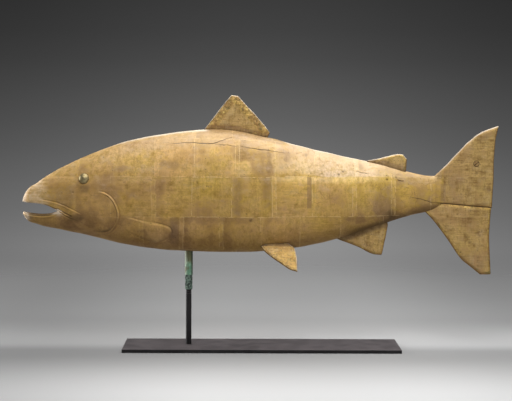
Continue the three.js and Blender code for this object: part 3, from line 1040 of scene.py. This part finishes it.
OLIVE_GOLD = (0.640, 0.415, 0.090)
WARM_GOLD = (0.670, 0.400, 0.130)
DULL_GOLD = (0.50, 0.335, 0.165)
PALE_GOLD = (0.86, 0.66, 0.44)
# Dust, and partly a painted sheen on upward faces
PALE_DUST = (0.64, 0.49, 0.34)
YELLOW_GOLD = (0.86, 0.64, 0.20)
# Lap lines, and also painted highlights
LAP_GOLD = (0.88, 0.65, 0.31)
BROWN = (0.29, 0.170, 0.080)
RED_BROWN = (0.31, 0.168, 0.056)
UMBER = (0.23, 0.120, 0.034)
TAN = (0.55, 0.37, 0.19)
RUST = (0.46, 0.26, 0.105)
# The next three are painted highlight: pale jaw tips (partly bare ground), the back's upper edge and the
# boards' upward edges
CHALK = (0.92, 0.75, 0.56)
RIM = (0.95, 0.84, 0.66)
EDGE_DUST = (0.74, 0.66, 0.56)
DARKER, LIGHTER = (0.55, 0.482, 0.46), (1.35, 1.44, 1.60)  # tints of the gold where it is duller and brighter
DRIER, YELLOWER = (0.98, 0.975, 1.10), (1.02, 1.02, 0.88)  # tints that drift slowly over the gold
DARK_BROWN = (0.085, 0.050, 0.022)
GREEN_STAIN = (0.19, 0.155, 0.055)


def gold_fields(s):
    """What the gilding is mixed by: masks, the place on the leaves, each leaf's chances, and noises from
    about -1 to 1. The fin mask is 0 on the body, 1 on its boards and up to 2 where those are rough."""
    g = SimpleNamespace(place=s.object_place(), up_facing=s.facing_up())
    g.fin, g.stain = s.mask("fin"), s.mask("stain")
    g.on_body, g.on_board = s.ease(g.fin, 0.6, 0.2), s.ease(g.fin, 0.6, 0.95)

    g.leaf_along, g.leaf_up, g.side = s.parts(s.mask("leaf", "Vector"))
    wander = s.parts(s.noise(g.place, 55, 2, output=1))
    bend = s.parts(s.noise(g.place, 7, 1, output=1))
    g.along = s.sum(g.leaf_along, (wander[0], 3.0), (bend[0], 12.0), -7.5)
    g.up = s.sum(g.leaf_up, (wander[1], 3.0), (bend[1], 8.0), -5.5)
    row_place = s.math("DIVIDE", s.sum(g.up, LEAF / 2), LEAF)
    g.row = s.math("FLOOR", row_place)
    shifts = [s.times(s.near(g.row, row), shift) for row, shift in ((-1.0, LOWER_SHIFT), (1.0, UPPER_SHIFT))]
    column_place = s.math("DIVIDE", s.math("SUBTRACT", g.along, s.sum(*shifts, LEAF_LINE_X)), LEAF)
    key = s.vector(s.math("FLOOR", column_place), g.row, g.side)
    g.luck = s.parts(s.add("TexWhiteNoise", {0: key}, noise_dimensions="3D").outputs["Color"])
    g.in_column, g.in_row = (s.times(s.math("FRACT", at), LEAF) for at in (column_place, row_place))

    g.cloud = s.swing(s.noise(g.place, 14, 3, 0.6))
    g.mottle = s.swing(s.noise(g.place, 50, 5, 0.7))
    g.fleck = s.swing(s.noise(g.place, 120, 3, 0.65))
    g.fine = s.swing(s.noise(g.place, 300, 3, 0.7))
    g.level_streaks = s.swing(s.noise(s.stretched(g.place, 26, 26, 230), 1, 4, 0.65))
    g.upright_streaks = s.swing(s.noise(s.stretched(g.place, 230, 230, 26), 1, 4, 0.65))
    level_share = s.ease(g.luck[2], 0.35, 0.65, 0.2, 0.8)
    upright_share = s.math("SUBTRACT", 1.0, level_share)
    g.weave = s.sum(s.times(g.level_streaks, level_share), s.times(g.upright_streaks, upright_share))
    g.spotty = s.sum(g.mottle, g.fleck)
    return g


def leaf_laps(s, g):
    """The bright lines where the leaves lap over each other."""
    gaps = [s.math("MINIMUM", at, s.math("SUBTRACT", LEAF, at)) for at in (g.in_column, g.in_row)]
    second = s.math("ABSOLUTE", s.math("SUBTRACT", g.in_column, LEAF_LAP))
    second_line = s.times((second, 1.1, 0.3), (g.luck[0], 0.5, 0.6))
    return s.times(
        s.most(*(s.ease(gap, 1.1, 0.3) for gap in gaps), second_line),
        (s.noise(g.place, 60, 4, 0.7), 0.40, 0.56), (g.along, -345, -250), (g.up, -46, -36, 0.55, 1.0),
        (g.along, -200, -130, 0.5, 1.0), (g.fin, 0.4, 0.9, 1.0, 0.4),
    )


def leaf_gold(s, g):
    """The gold itself: each leaf's own tone, paler along the upper back (partly a paler row of leaves, partly
    a painted highlight) and duller on the boards.
    """
    tone = s.sum(
        (g.luck[1], 0.5), (g.cloud, 0.35), (g.mottle, 0.2), (g.fleck, 0.35),
        s.ease(g.along, -110, -190, 0.0, 0.4), s.ease(g.along, 120, 200, 0.0, -0.3), 0.25,
    )
    gold = s.mix(s.clamped(tone), OLIVE_GOLD, WARM_GOLD)
    # Paler along the upper back: partly a paler row of leaves, partly painted highlight
    upper = s.times(
        (g.up, 38.9, s.ease(g.along, 60, 140, 56, 41)), (g.along, -60, 150, 0.1, 1.0),
        (g.along, 340, 180, 0.3, 1.0),
    )
    pale = s.clamped(s.times(upper, (g.spotty, -1.2, 0.6, 0.5, 0.95)))
    gold = s.mix(s.times(pale, 0.7, g.on_body), gold, PALE_GOLD)
    return s.mix(s.times(g.on_board, (g.fin, 1.0, 1.5, 0.4, 0.15)), gold, DULL_GOLD)


def rubbing(s, g):
    """How much brown shows through the gold: where leaves are torn, under a leaf line, and at the front."""
    ragged = s.sum(g.in_column, (g.mottle, 3.0))
    torn = s.times((ragged, LEAF_LAP - 1, LEAF_LAP + 4), (ragged, 34, 8), (g.luck[0], 0.45, 0.6), 0.9)
    under_line = s.times(
        (g.in_row, LEAF - 20, LEAF - 1), (g.up, -30, -45), (g.along, -320, -240),
        (g.cloud, -0.6, 0.4, 0.2, 0.9),
    )
    front = s.times((g.along, -120, -230), (g.up, 80, 10), (g.cloud, -0.6, 0.6, 0.1, 0.9))
    wear = s.sum(
        g.cloud, torn, under_line, front, (g.stain, 1.7),
        (g.mottle, 0.75), (g.weave, 0.4), (g.fleck, 0.5), (g.fine, 0.3),
    )
    return s.ease(wear, 0.25, 1.4)


def brightness(s, g, crest):
    """The tint that lightens and darkens the gold."""
    streaks = s.sum(g.level_streaks, g.upright_streaks, g.mottle, g.fleck)
    in_lap = s.ease(g.in_column, LEAF_LAP + 0.6, LEAF_LAP - 0.6)
    value = s.sum(
        (g.luck[1], 0.12), (g.weave, 0.23), (g.fine, 0.12), (g.mottle, 0.19), (g.fleck, 0.13), (in_lap, 0.05),
        (crest, 0.16), s.times(g.on_board, streaks, 0.15), s.ease(g.stain, 0.0, -0.8, 0.0, 0.2), 0.91,
    )
    return s.mix(s.ease(value, 0.5, 1.4, kind="LINEAR"), DARKER, LIGHTER)


def creases(s, g):
    """Dark threads of the brushwork, dashes on the boards, and fine wrinkles."""
    dashes = s.most(s.ease(g.level_streaks, 0.3, 0.8), s.ease(g.upright_streaks, 0.3, 0.8))
    threads = s.most(s.ease(s.sum(g.weave, (g.fleck, 0.5)), 0.6, 1.2), s.times(dashes, g.on_board))
    bent = {0: s.noise(g.place, 60, 3, output=1), 1: (0.016, 0.016, 0.016), 2: g.place}
    warped = s.add("VectorMath", bent, operation="MULTIPLY_ADD").outputs[0]
    cracks = s.add("TexVoronoi", {"Vector": warped, "Scale": 48.0}, feature="DISTANCE_TO_EDGE").outputs[0]
    wrinkles = s.times((cracks, 0.035, 0.01), (s.noise(g.place, 26, 3, 0.6), 0.52, 0.60))
    return s.most(s.times(threads, 0.4), s.times(wrinkles, (g.along, 40, 120, 0.12, 0.45)))


def missing_strip(s, g):
    """An upright strip on the left side where the leaf is gone."""
    return s.times(
        (g.leaf_along, 90.5, 92), (g.leaf_along, 100.5, 99), (g.leaf_up, -24, -20), (g.leaf_up, 41, 38),
        (g.side, 0.1, -0.1), (g.mottle, -1.0, -0.2),
    )


def rubbed_gold(s, g):
    """The gold with the brown that shows through it, and how brown it is: browner where it faces down (partly
    grime, partly painted shade), with a tan band of painted shade over upward slopes.
    """
    # Browner where it faces down: partly grime, partly painted shade
    low = s.times((g.up_facing, 0.02, -0.75, 0.0, 0.9), (g.mottle, -0.8, 0.8, 0.75, 1))
    brown_share = s.clamped(s.sum((rubbing(s, g), 0.62), low))
    brown = s.mix(s.ease(g.stain, 0.1, 0.6), RED_BROWN, BROWN)
    colour = s.mix(s.times(brown_share, 0.9), leaf_gold(s, g), s.mix(low, brown, UMBER))
    # Painted shade: a tan band over the upward slopes, most towards the front
    crown = s.times(
        (g.up_facing, 0.40, 0.54), (g.up_facing, 0.92, 0.74), (g.along, 40, -20, 0.4, 1.0),
        (g.along, -320, -230), g.on_body, (g.spotty, -1.2, 0.8, 0.3, 0.7),
    )
    return s.mix(crown, colour, TAN), brown_share


def varied(s, g, colour):
    """The gold made lighter and darker from place to place, with a painted highlight along the top of the
    middle row of leaves and a slow drift of its hue.
    """
    # Painted highlight along the top of the middle row of leaves
    crest = s.times(
        (g.in_row, LEAF - 17, LEAF - 4), s.near(g.row, 0.0), (g.along, -20, 60, 0.2, 1.0),
        (g.along, 260, 200, 0.2, 1.0), (g.spotty, -1.2, 0.8, 0.5, 1.0), g.on_body,
    )
    colour = s.mix(s.times(crest, 0.35), colour, LAP_GOLD)
    colour = s.mix(1.0, colour, brightness(s, g, crest), "MULTIPLY")
    hue = s.mix(s.ease(s.swing(s.noise(g.place, 17, 3, 0.6), 0.16), -1.0, 1.0), DRIER, YELLOWER)
    return s.mix(s.times((g.up_facing, 0.5, 0.0, 0.3, 1.0), g.on_body), colour, hue, "MULTIPLY")


def dust_layers(s, g):
    """Grey dust over all, rust on the boards, pale dust on top that is partly a painted sheen, and a painted
    highlight along the back.
    """
    greyed = s.swing(s.noise(s.stretched(g.place, 1, 1, 1.5), 40, 5, 0.7))
    greyed = s.times((greyed, -0.1, 0.9, 0.0, 0.3), (g.up_facing, -0.4, 0.3, 0.1, 1.0))
    rusty = s.times(g.on_board, (s.sum(g.mottle, g.upright_streaks), 0.0, 1.0, 0.0, 0.5))
    # Pale dust on upward faces, partly a painted sheen
    dusty = s.times(
        (g.up_facing, 0.3, 0.97, 0.0, 0.5), (s.sum(g.mottle, g.fine), -1, 1, 0.6, 1.0), g.on_body,
        (g.stain, 0.0, 0.6, 1.0, 0.2), (g.along, -330, -40, 0.1, 1.0),
    )
    off_dorsal = s.most(s.ease(g.along, -96, -112), s.ease(g.along, 40, 56))
    # Painted highlight along the back's upper edge
    rim = s.times(
        (g.up_facing, 0.87, 0.97), (g.along, -340, -250), (g.along, 260, 190), off_dorsal, g.on_body,
        (g.mottle, -1, 0.5, 0.5, 0.9),
    )
    return (greyed, PALE_DUST), (rusty, RUST), (dusty, PALE_DUST), (rim, RIM)


def board_layers(s, g):
    """Blotches on the boards, most in their rough bands, and their edges: painted shade where they face
    sideways or down, painted highlight where they face up.
    """
    rough_band = s.ease(g.fin, 1.15, 1.7)
    lumps = s.noise(g.place, 120, 3, 0.6)
    blotch = s.times((g.fin, 0.9, 1.7, 0.18, 1.0), (lumps, 0.52, 0.66), (g.fin, 0.3, 0.9))
    edge = s.mask("edge")
    # Painted shade on edges that face sideways or down, and painted highlight on edges that face up
    bare = s.times(edge, (g.up_facing, 0.5, 0.1), (s.sum(g.fine, g.mottle), -1.2, 0.2, 0.5, 0.95))
    bright = s.times(edge, (g.up_facing, 0.25, 0.5, 0.0, 0.7))
    return (
        (s.times(rough_band, (g.mottle, -0.3, 0.3), 0.6), RED_BROWN), (s.times(blotch, 0.75), GREEN_STAIN),
        (s.times(rough_band, (lumps, 0.46, 0.34), 0.55), YELLOW_GOLD), (bare, UMBER), (bright, EDGE_DUST),
    )


def gilding():
    """Worn gold leaf in square sheets on wood: each leaf has its own tone, its laps catch the light,
    and brown shows where it is rubbed, stained or torn. Painted highlight and shade are mixed into it."""
    s = Shader("worn_gold_leaf")
    g = gold_fields(s)
    colour, brown_share = rubbed_gold(s, g)
    laps, creased, strip, grime = leaf_laps(s, g), creases(s, g), missing_strip(s, g), s.mask("grime")
    # Lap lines, and the painted highlight on carved ridges and the pelvic tips
    shine = s.most(s.times(laps, 0.55), s.times(s.mask("polish"), (g.fine, -1, 1, 0.3, 0.6)))
    # Pale tips of the jaws, partly bare ground and partly painted highlight, and the painted highlight at the
    # mouth's corner
    chalk = s.times(s.mask("chalk"), (s.sum(g.mottle, g.weave), -0.7, 0.6, 0.22, 1.0))
    crumbs = s.noise(s.stretched(g.place, 1, 1, 1.4), 210, 2, 0.5)
    speck = s.ease(s.math("SUBTRACT", crumbs, s.ease(g.fin, 0.0, 1.0, 0.70, 0.66)), 0.0, 0.05)
    greyed, rusty, dusty, rim = dust_layers(s, g)
    layers = (
        greyed, rusty, (shine, LAP_GOLD), dusty, rim, (creased, RED_BROWN), (chalk, CHALK),
        (s.times(strip, 0.6), BROWN), (s.times(speck, 0.6), DARK_BROWN), *board_layers(s, g),
        # Grime and dark joints, with the painted shade of grooves, holes, cuts, fin roots and the belly
        (s.clamped(s.times(grime, 0.9)), DARK_BROWN),
    )
    colour = s.covered(varied(s, g, colour), layers)

    worn = s.clamped(s.most(brown_share, strip, grime, speck))
    roughness = s.sum(0.58, (g.mottle, 0.04), (worn, 0.12), (g.weave, 0.04), (shine, -0.1))
    relief = s.sum(
        (g.weave, 0.05), (g.mottle, 0.15), (g.fleck, 0.10), (g.fine, 0.05),
        (laps, 0.25), (creased, -0.2), (worn, -0.25),
    )
    s.set(Base_Color=colour, Roughness=roughness, Metallic=s.ease(worn, 0.0, 1.0, 0.4, 0.15))
    s.set(Specular_IOR_Level=0.3, Normal=s.bump(relief, 0.0010, 0.7))
    return s.material


def brass():
    s = Shader("dull_brass")
    place = s.object_place()
    patina = s.noise(place, 160, 4, 0.6)
    colour = s.mix(s.ease(patina, 0.38, 0.66), (0.43, 0.35, 0.18), (0.31, 0.24, 0.11))
    colour = s.mix(s.ease(s.noise(place, 420, 3), 0.62, 0.74), colour, (0.12, 0.09, 0.04))
    s.set(Base_Color=colour, Metallic=0.85, Roughness=s.ease(patina, 0.3, 0.7, 0.46, 0.56))
    s.set(Normal=s.bump(s.noise(place, 300, 4), 0.0002, 0.2))
    return s.material


def verdigris():
    """Copper gone green: smooth pale green above, coarse and blackened below the step, with a painted
    highlight down its left side and painted shade down its right.
    """
    s = Shader("verdigris")
    place = s.object_place()
    across, _, height = s.parts(place)
    lower = s.ease(height, TUBE_STEP_Z * MM + 0.0006, TUBE_STEP_Z * MM - 0.0006)
    cloud = s.noise(place, 90, 4, 0.6)
    grain = s.noise(place, 420, 4, 0.6)
    # Painted highlight down the left side and painted shade down the right
    left_flank, right_flank = (
        s.ease(across, (ROD_X + near * TUBE_RADIUS) * MM, (ROD_X + far * TUBE_RADIUS) * MM)
        for near, far in ((-0.15, -0.65), (0.35, 0.85))
    )
    olive = s.times((s.sum(height, (cloud, 0.012)), 0.171, 0.181), 0.9)
    rust = s.times((s.noise(s.stretched(place, 1, 1, 0.35), 130, 3), 0.54, 0.66), 0.7)
    green = s.mix(s.ease(cloud, 0.4, 0.62), (0.34, 0.58, 0.41), (0.16, 0.34, 0.22))
    green = s.covered(green, (
        (olive, (0.15, 0.135, 0.05)),
        (s.times(left_flank, (cloud, 0.3, 0.6, 0.9, 0.5)), (0.66, 0.76, 0.60)),
        (s.times(right_flank, 0.85), (0.030, 0.055, 0.028)),
        (rust, (0.20, 0.12, 0.045)),
    ))
    cells = s.add("TexVoronoi", {"Vector": place, "Scale": 230.0}, feature="SMOOTH_F1").outputs["Distance"]
    coarse = s.mix(s.ease(cells, 0.28, 0.6), (0.022, 0.036, 0.030), (0.20, 0.29, 0.23))
    coarse = s.mix(s.ease(grain, 0.56, 0.68), coarse, (0.34, 0.46, 0.37))
    relief = s.sum((grain, 0.5), (cloud, 0.5), s.times(lower, cells, 1.2))
    s.set(Base_Color=s.mix(lower, green, coarse), Metallic=0.15, Roughness=s.ease(lower, 0, 1, 0.30, 0.75))
    s.set(Normal=s.bump(relief, 0.0009, 0.8))
    return s.material


def black_steel():
    """Satin black paint, lighter on top with some dust and a painted sheen, and grey along rubbed places."""
    s = Shader("satin_black")
    place = s.object_place()
    dust = s.noise(place, 30, 5, 0.6)
    scuff = s.times((s.noise(s.stretched(place, 1, 1, 4), 60, 4, 0.7), 0.66, 0.74), 0.35)
    # Lighter on top: some dust, partly a painted sheen
    on_top = s.times((s.facing_up(), 0.3, 0.9), (dust, 0.2, 0.8, 0.5, 0.9))
    colour = s.mix(s.ease(dust, 0.35, 0.7), (0.009, 0.008, 0.009), (0.018, 0.016, 0.017))
    colour = s.covered(colour, ((scuff, (0.10, 0.095, 0.095)), (on_top, (0.150, 0.130, 0.134))))
    s.set(Base_Color=colour, Roughness=s.ease(dust, 0.3, 0.7, 0.40, 0.52), Specular_IOR_Level=0.38)
    s.set(Normal=s.bump(s.noise(place, 700, 3), 0.00012, 0.6))
    return s.material


# Pieces

gold = gilding()
eye_metal = brass()
steel = black_steel()


def finish_piece(made, material, body, node, sharp_angle=38):
    """Gives a piece its shading, material slot and body, and hides the imported part of the node that it
    stands for.
    """
    made.data.shade_smooth()
    made.data.set_sharp_from_angle(angle=math.radians(sharp_angle))
    made.data.materials.clear()
    made.data.materials.append(material)
    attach(made, body)
    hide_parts(node)


def gilded_fin(name, node, runs, thick, rim, bevel, band, relief, side=0, jointed=False, **masks):
    """A board of the fish. side says where a pelvic fin splays, and jointed marks the tail's lower lobe."""
    line = outline(runs)
    made = board(name, line, thick, rim, bevel, 1.8, relief, LOBE_WOBBLE if jointed else WOBBLE)
    if jointed:
        groove_lobe_joint(made)
    mask_fin(made, line, band, jointed=jointed, **masks)
    if side:
        put_points(made, pelvic_place(points_of(made), side))
    finish_piece(made, gold, "vane", node)


def over_back(x, z):
    return z - back(x)


def under_belly(x, z):
    return belly(x) - z


def under_root(x, z):
    """How far a point of the pelvic fin's plane is under its root, scaled up so that the painted shadow of
    the belly along it stays narrow.
    """
    return -2.5 * z


def domed_eye(side, hand):
    curve = (EYE_RADIUS**2 + EYE_DOME**2) / (2 * EYE_DOME)
    widest = math.asin(EYE_RADIUS / curve)
    arc = [[curve * math.sin(a), curve * math.cos(a) - curve + EYE_DOME] for a in np.linspace(widest, 0, 18)]
    arc[0] = [EYE_RADIUS, 0.1]
    arc[-1][0] = 0
    profile = [[0, -EYE_SUNK], [EYE_RADIUS - 0.4, -EYE_SUNK], [EYE_RADIUS, -EYE_SUNK + 0.4], *arc]
    made = moved(turned(f"domed_eye_{hand}", profile, 56), eye_turn(side))
    finish_piece(made, eye_metal, "vane", f"eye_{hand}")


def slotted_screw():
    profile = [
        [0, -SCREW_DEPTH], [2.4, -SCREW_DEPTH], [2.4, -3.2], [SCREW_RADIUS, -0.5], [SCREW_RADIUS, -0.1],
        [SCREW_RADIUS - 0.5, 0.25], [SCREW_RADIUS * 0.6, 0.42], [0, 0.48],
    ]
    made = turned("slotted_screw", profile, 40)
    reach = SCREW_RADIUS + 2
    slot = block("slot", (-reach, -SLOT_WIDE / 2, -SLOT_DEEP), (reach, SLOT_WIDE / 2, 2))
    boolean(made, moved(slot, Matrix.Rotation(SLOT_TURN, 4, "Z")))
    moved(made, SCREW_PLACE)
    points = points_of(made)
    x, y, z = points.T
    from_middle = np.hypot(x - SCREW_X, z - SCREW_Z)
    grime = np.maximum(ease(y, -4.7, -4.2), 0.7 * ease(from_middle, 4.6, 5.6))
    store(made, leaf=points - [0, 0, LEAF_LEVEL], grime=grime, polish=0, edge=0, stain=0.6, fin=1.3)
    finish_piece(made, gold, "vane", "tail_screw")


def green_tube():
    """The pivot tube: drawn smooth above, thinner, pitted and crusted below its step."""
    def crusted(angles, radius, height):
        if radius <= TUBE_BORE:
            return np.full(len(angles), float(radius))
        points = at_y(12 * side_view(np.cos(angles), np.sin(angles)), height)[:, [0, 2, 1]]
        crust = 0.30 * waves(points, 6, 51) + 0.16 * waves(points, 2.8, 52)
        below = ease(height, TUBE_STEP_Z + 0.5, TUBE_STEP_Z - 1.5)
        return np.minimum(radius - 0.05 + crust * (0.12 + 0.88 * below) * 0.8, radius)

    ceiling = TUBE_TOP - TUBE_CAP
    profile = [
        [0, ceiling], [TUBE_BORE, ceiling], [TUBE_BORE, TUBE_BOTTOM + 0.4], [TUBE_BORE + 0.4, TUBE_BOTTOM],
        [TUBE_LOWER_RADIUS - 0.5, TUBE_BOTTOM],
        *([TUBE_LOWER_RADIUS, z] for z in np.arange(TUBE_BOTTOM + 0.5, TUBE_STEP_Z - 0.6, 0.9)),
        [TUBE_LOWER_RADIUS, TUBE_STEP_Z - 0.5], [TUBE_RADIUS - 0.2, TUBE_STEP_Z],
        [TUBE_RADIUS, TUBE_STEP_Z + 0.5],
        *([TUBE_RADIUS, z] for z in np.arange(TUBE_STEP_Z + 1.5, 215, 1.5)),
        [TUBE_RADIUS, TUBE_TOP], [0, TUBE_TOP],
    ]
    made = moved(turned("green_tube", profile, 72, crusted), ROD_PLACE)
    finish_piece(made, verdigris(), "vane", "pivot_tube", 50)


def steel_rod():
    """The rod, with two turned rings under the tube, standing in the plate on a thinner spigot."""
    foot, top = (corner.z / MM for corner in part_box("stand_rod"))
    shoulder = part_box("base_plate")[1].z / MM + 0.3
    waist = ROD_RADIUS - 0.45
    rings = []
    for z in RING_LEVELS:
        rings += [[ROD_RADIUS, z - 0.8], [waist, z - 0.4], [waist, z + 0.4], [ROD_RADIUS, z + 0.8]]
    profile = [
        [0, foot], [SPIGOT_RADIUS, foot], [SPIGOT_RADIUS, shoulder], [ROD_RADIUS, shoulder],
        [ROD_RADIUS, 100], *rings, [ROD_RADIUS, top - 2.5], [3, top], [0, top],
    ]
    made = moved(turned("steel_rod", profile, 56), ROD_PLACE)
    finish_piece(made, steel, "stand", "stand_rod")


def steel_plate():
    """The plate, with edges eased by a few small facets."""
    low, high = (np.array(corner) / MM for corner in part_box("base_plate"))
    made = block("steel_plate", low, high)
    work = bmesh.new()
    work.from_mesh(made.data)
    bmesh.ops.bevel(work, geom=work.edges[:], offset=0.9 * MM, segments=3, profile=0.6, affect="EDGES")
    work.to_mesh(made.data)
    work.free()
    boolean(made, moved(pin(SPIGOT_RADIUS + 0.4, high[2] - 5.4, high[2] + 2), ROD_PLACE))
    finish_piece(made, steel, "stand", "base_plate", 30)


carved_body()
gilded_fin(
    "dorsal_board", "dorsal_fin", DORSAL, FIN_THICK, 3.6, 12, 19, rim_relief(17, 0.4),
    root=over_back, clean=0.5,
)
gilded_fin(
    "adipose_board", "adipose_fin", ADIPOSE, FIN_THICK, 4, 7, 7, rim_relief(8, 0.2),
    spots=ADIPOSE_HOLES, root=over_back, clean=0.8,
)
gilded_fin(
    "anal_board", "anal_fin", ANAL, FIN_THICK, 4, 7, 6, rim_relief(40, 0.12),
    root=under_belly, root_dirt=12,
)
for side, hand in HANDS:
    gilded_fin(
        f"pelvic_board_{hand}", f"pelvic_fin_{hand}", PELVIC, PELVIC_THICK, 3, 7, 5, rim_relief(30, 0.2),
        side, root=under_root, root_dirt=15, tip_polish=0.6, mottled=0.42,
    )
gilded_fin(
    "tail_lobe_board", "tail_lower_lobe", TAIL_LOWER, TAIL_THICK, BOARD_RIM, 7, 6, tail_relief(LOBE_HOLES),
    jointed=True, spots=LOBE_HOLES,
)
for side, hand in HANDS:
    domed_eye(side, hand)
slotted_screw()
green_tube()
steel_rod()
steel_plate()


# Floor, light and camera

# The backdrop's brightness by the sine of the direction's height over the horizon
BACKDROP = [
    [-0.20, 0.45], [-0.12, 0.365], [-0.101, 0.325], [-0.083, 0.285], [-0.065, 0.232], [-0.046, 0.19],
    [-0.028, 0.15], [-0.01, 0.118], [0.0085, 0.093], [0.027, 0.069], [0.045, 0.054], [0.065, 0.044],
    [0.12, 0.05], [0.4, 0.10],
]
FLOOR_REACH = 14000


def floor():
    """A plain pale floor that fades into the backdrop; its light and shade are painted, darker behind the
    object and paler in front.
    """
    corners = [(-1, -1), (1, -1), (1, 1), (-1, 1)]
    made = mesh_object("floor", [[FLOOR_REACH * x, FLOOR_REACH * y, 0] for x, y in corners], [(0, 1, 2, 3)])
    s = Shader("pale_floor")
    place = s.object_place()
    away = s.add("VectorMath", {0: place}, operation="LENGTH").outputs["Value"]
    across, depth, _ = s.parts(place)
    # Painted light and shade on the floor
    shade = s.times(
        (depth, -0.56, -0.10, 0.655, 0.350), (depth, -0.05, 0.06, 1.0, 1.5),
        (depth, 0.08, 0.45, 1.0, 0.63), (depth, 0.8, 1.4, 1.0, 1.12),
        (across, -0.58, -0.05, 0.61, 1.0), (across, 0.05, 0.35, 1.0, 1.04),
        (across, 0.22, 0.66, 1.0, 0.75),
    )
    s.set(Base_Color=s.vector(shade, shade, shade), Roughness=0.85, Alpha=s.ease(away, 0.7, 2.5, 1.0, 0.0))
    made.data.materials.append(s.material)


def world():
    """A grey backdrop, darker upwards and to both sides of its middle, and an even grey overhead."""
    made = bpy.data.worlds.new("studio")
    made.use_nodes = True
    s = Shader(None, made.node_tree)
    across, _, up = s.parts(s.add("TexCoord").outputs["Generated"])
    low, high = BACKDROP[0][0], BACKDROP[-1][0]
    ramp = s.add("ValToRGB", {0: s.ease(up, low, high, kind="LINEAR")})
    stops = ramp.color_ramp.elements
    while len(stops) < len(BACKDROP):
        stops.new(0.5)
    for stop, (height, grey) in zip(stops, BACKDROP):
        stop.position = (height - low) / (high - low)
        stop.color = (grey, grey, grey, 1)
    from_middle = s.math("ABSOLUTE", s.math("SUBTRACT", across, 0.01))
    background = s.tree.nodes["Background"].inputs
    s.put(background["Color"], ramp.outputs[0])
    s.put(background["Strength"], s.ease(from_middle, 0.0, 0.19, 1.0, 0.6))
    bpy.context.scene.world = made


def placed_object(name, data):
    made = bpy.data.objects.new(name, data)
    bpy.context.scene.collection.objects.link(made)
    return made


def soft_light(name, place, target, width, height, watts):
    """A rectangular softbox at place, aimed at target, in metres."""
    data = bpy.data.lights.new(name, "AREA")
    data.shape = "RECTANGLE"
    data.size, data.size_y = width, height
    data.energy = watts
    made = placed_object(name, data)
    made.location = place
    made.rotation_euler = (Vector(target) - Vector(place)).to_track_quat("-Z", "Y").to_euler()


def camera():
    """The photograph's view, for an image 512 wide and 401 high."""
    place = Vector((-0.0392, -3.240, 0.484))
    yaw, pitch, roll = math.radians(0.55), math.radians(3.36), math.radians(0.25)
    image_width, focal_pixels = 512, 1637
    ahead = Vector((math.sin(yaw) * math.cos(pitch), math.cos(yaw) * math.cos(pitch), -math.sin(pitch)))
    level = Vector((math.cos(yaw), -math.sin(yaw), 0))
    upright = level.cross(ahead)
    across = math.cos(roll) * level + math.sin(roll) * upright
    above = -math.sin(roll) * level + math.cos(roll) * upright
    data = bpy.data.cameras.new("camera")
    data.sensor_fit = "HORIZONTAL"
    data.lens = data.sensor_width * focal_pixels / image_width
    made = placed_object("camera", data)
    made.matrix_world = Matrix.Translation(place) @ Matrix((across, above, -ahead)).transposed().to_4x4()
    bpy.context.scene.camera = made


floor()
world()
soft_light("overhead", (0.35, 0.0, 1.9), (0.05, 0.0, 0.3), 2.1, 1.9, 42)
soft_light("left", (-2.1, 0.45, 0.5), (-0.3, 0, 0.3), 0.6, 1.0, 17)
soft_light("behind", (-1.7, 1.5, 0.8), (-0.3, 0, 0.3), 0.6, 1.3, 12)
soft_light("front", (0.2, -2.0, 2.5), (0, 0, 0.3), 1.4, 1.0, 32)
soft_light("right", (2.2, -1.4, 1.2), (0, 0, 0.3), 1.0, 1.0, 4)
camera()
bpy.context.scene.view_settings.view_transform = "Standard"
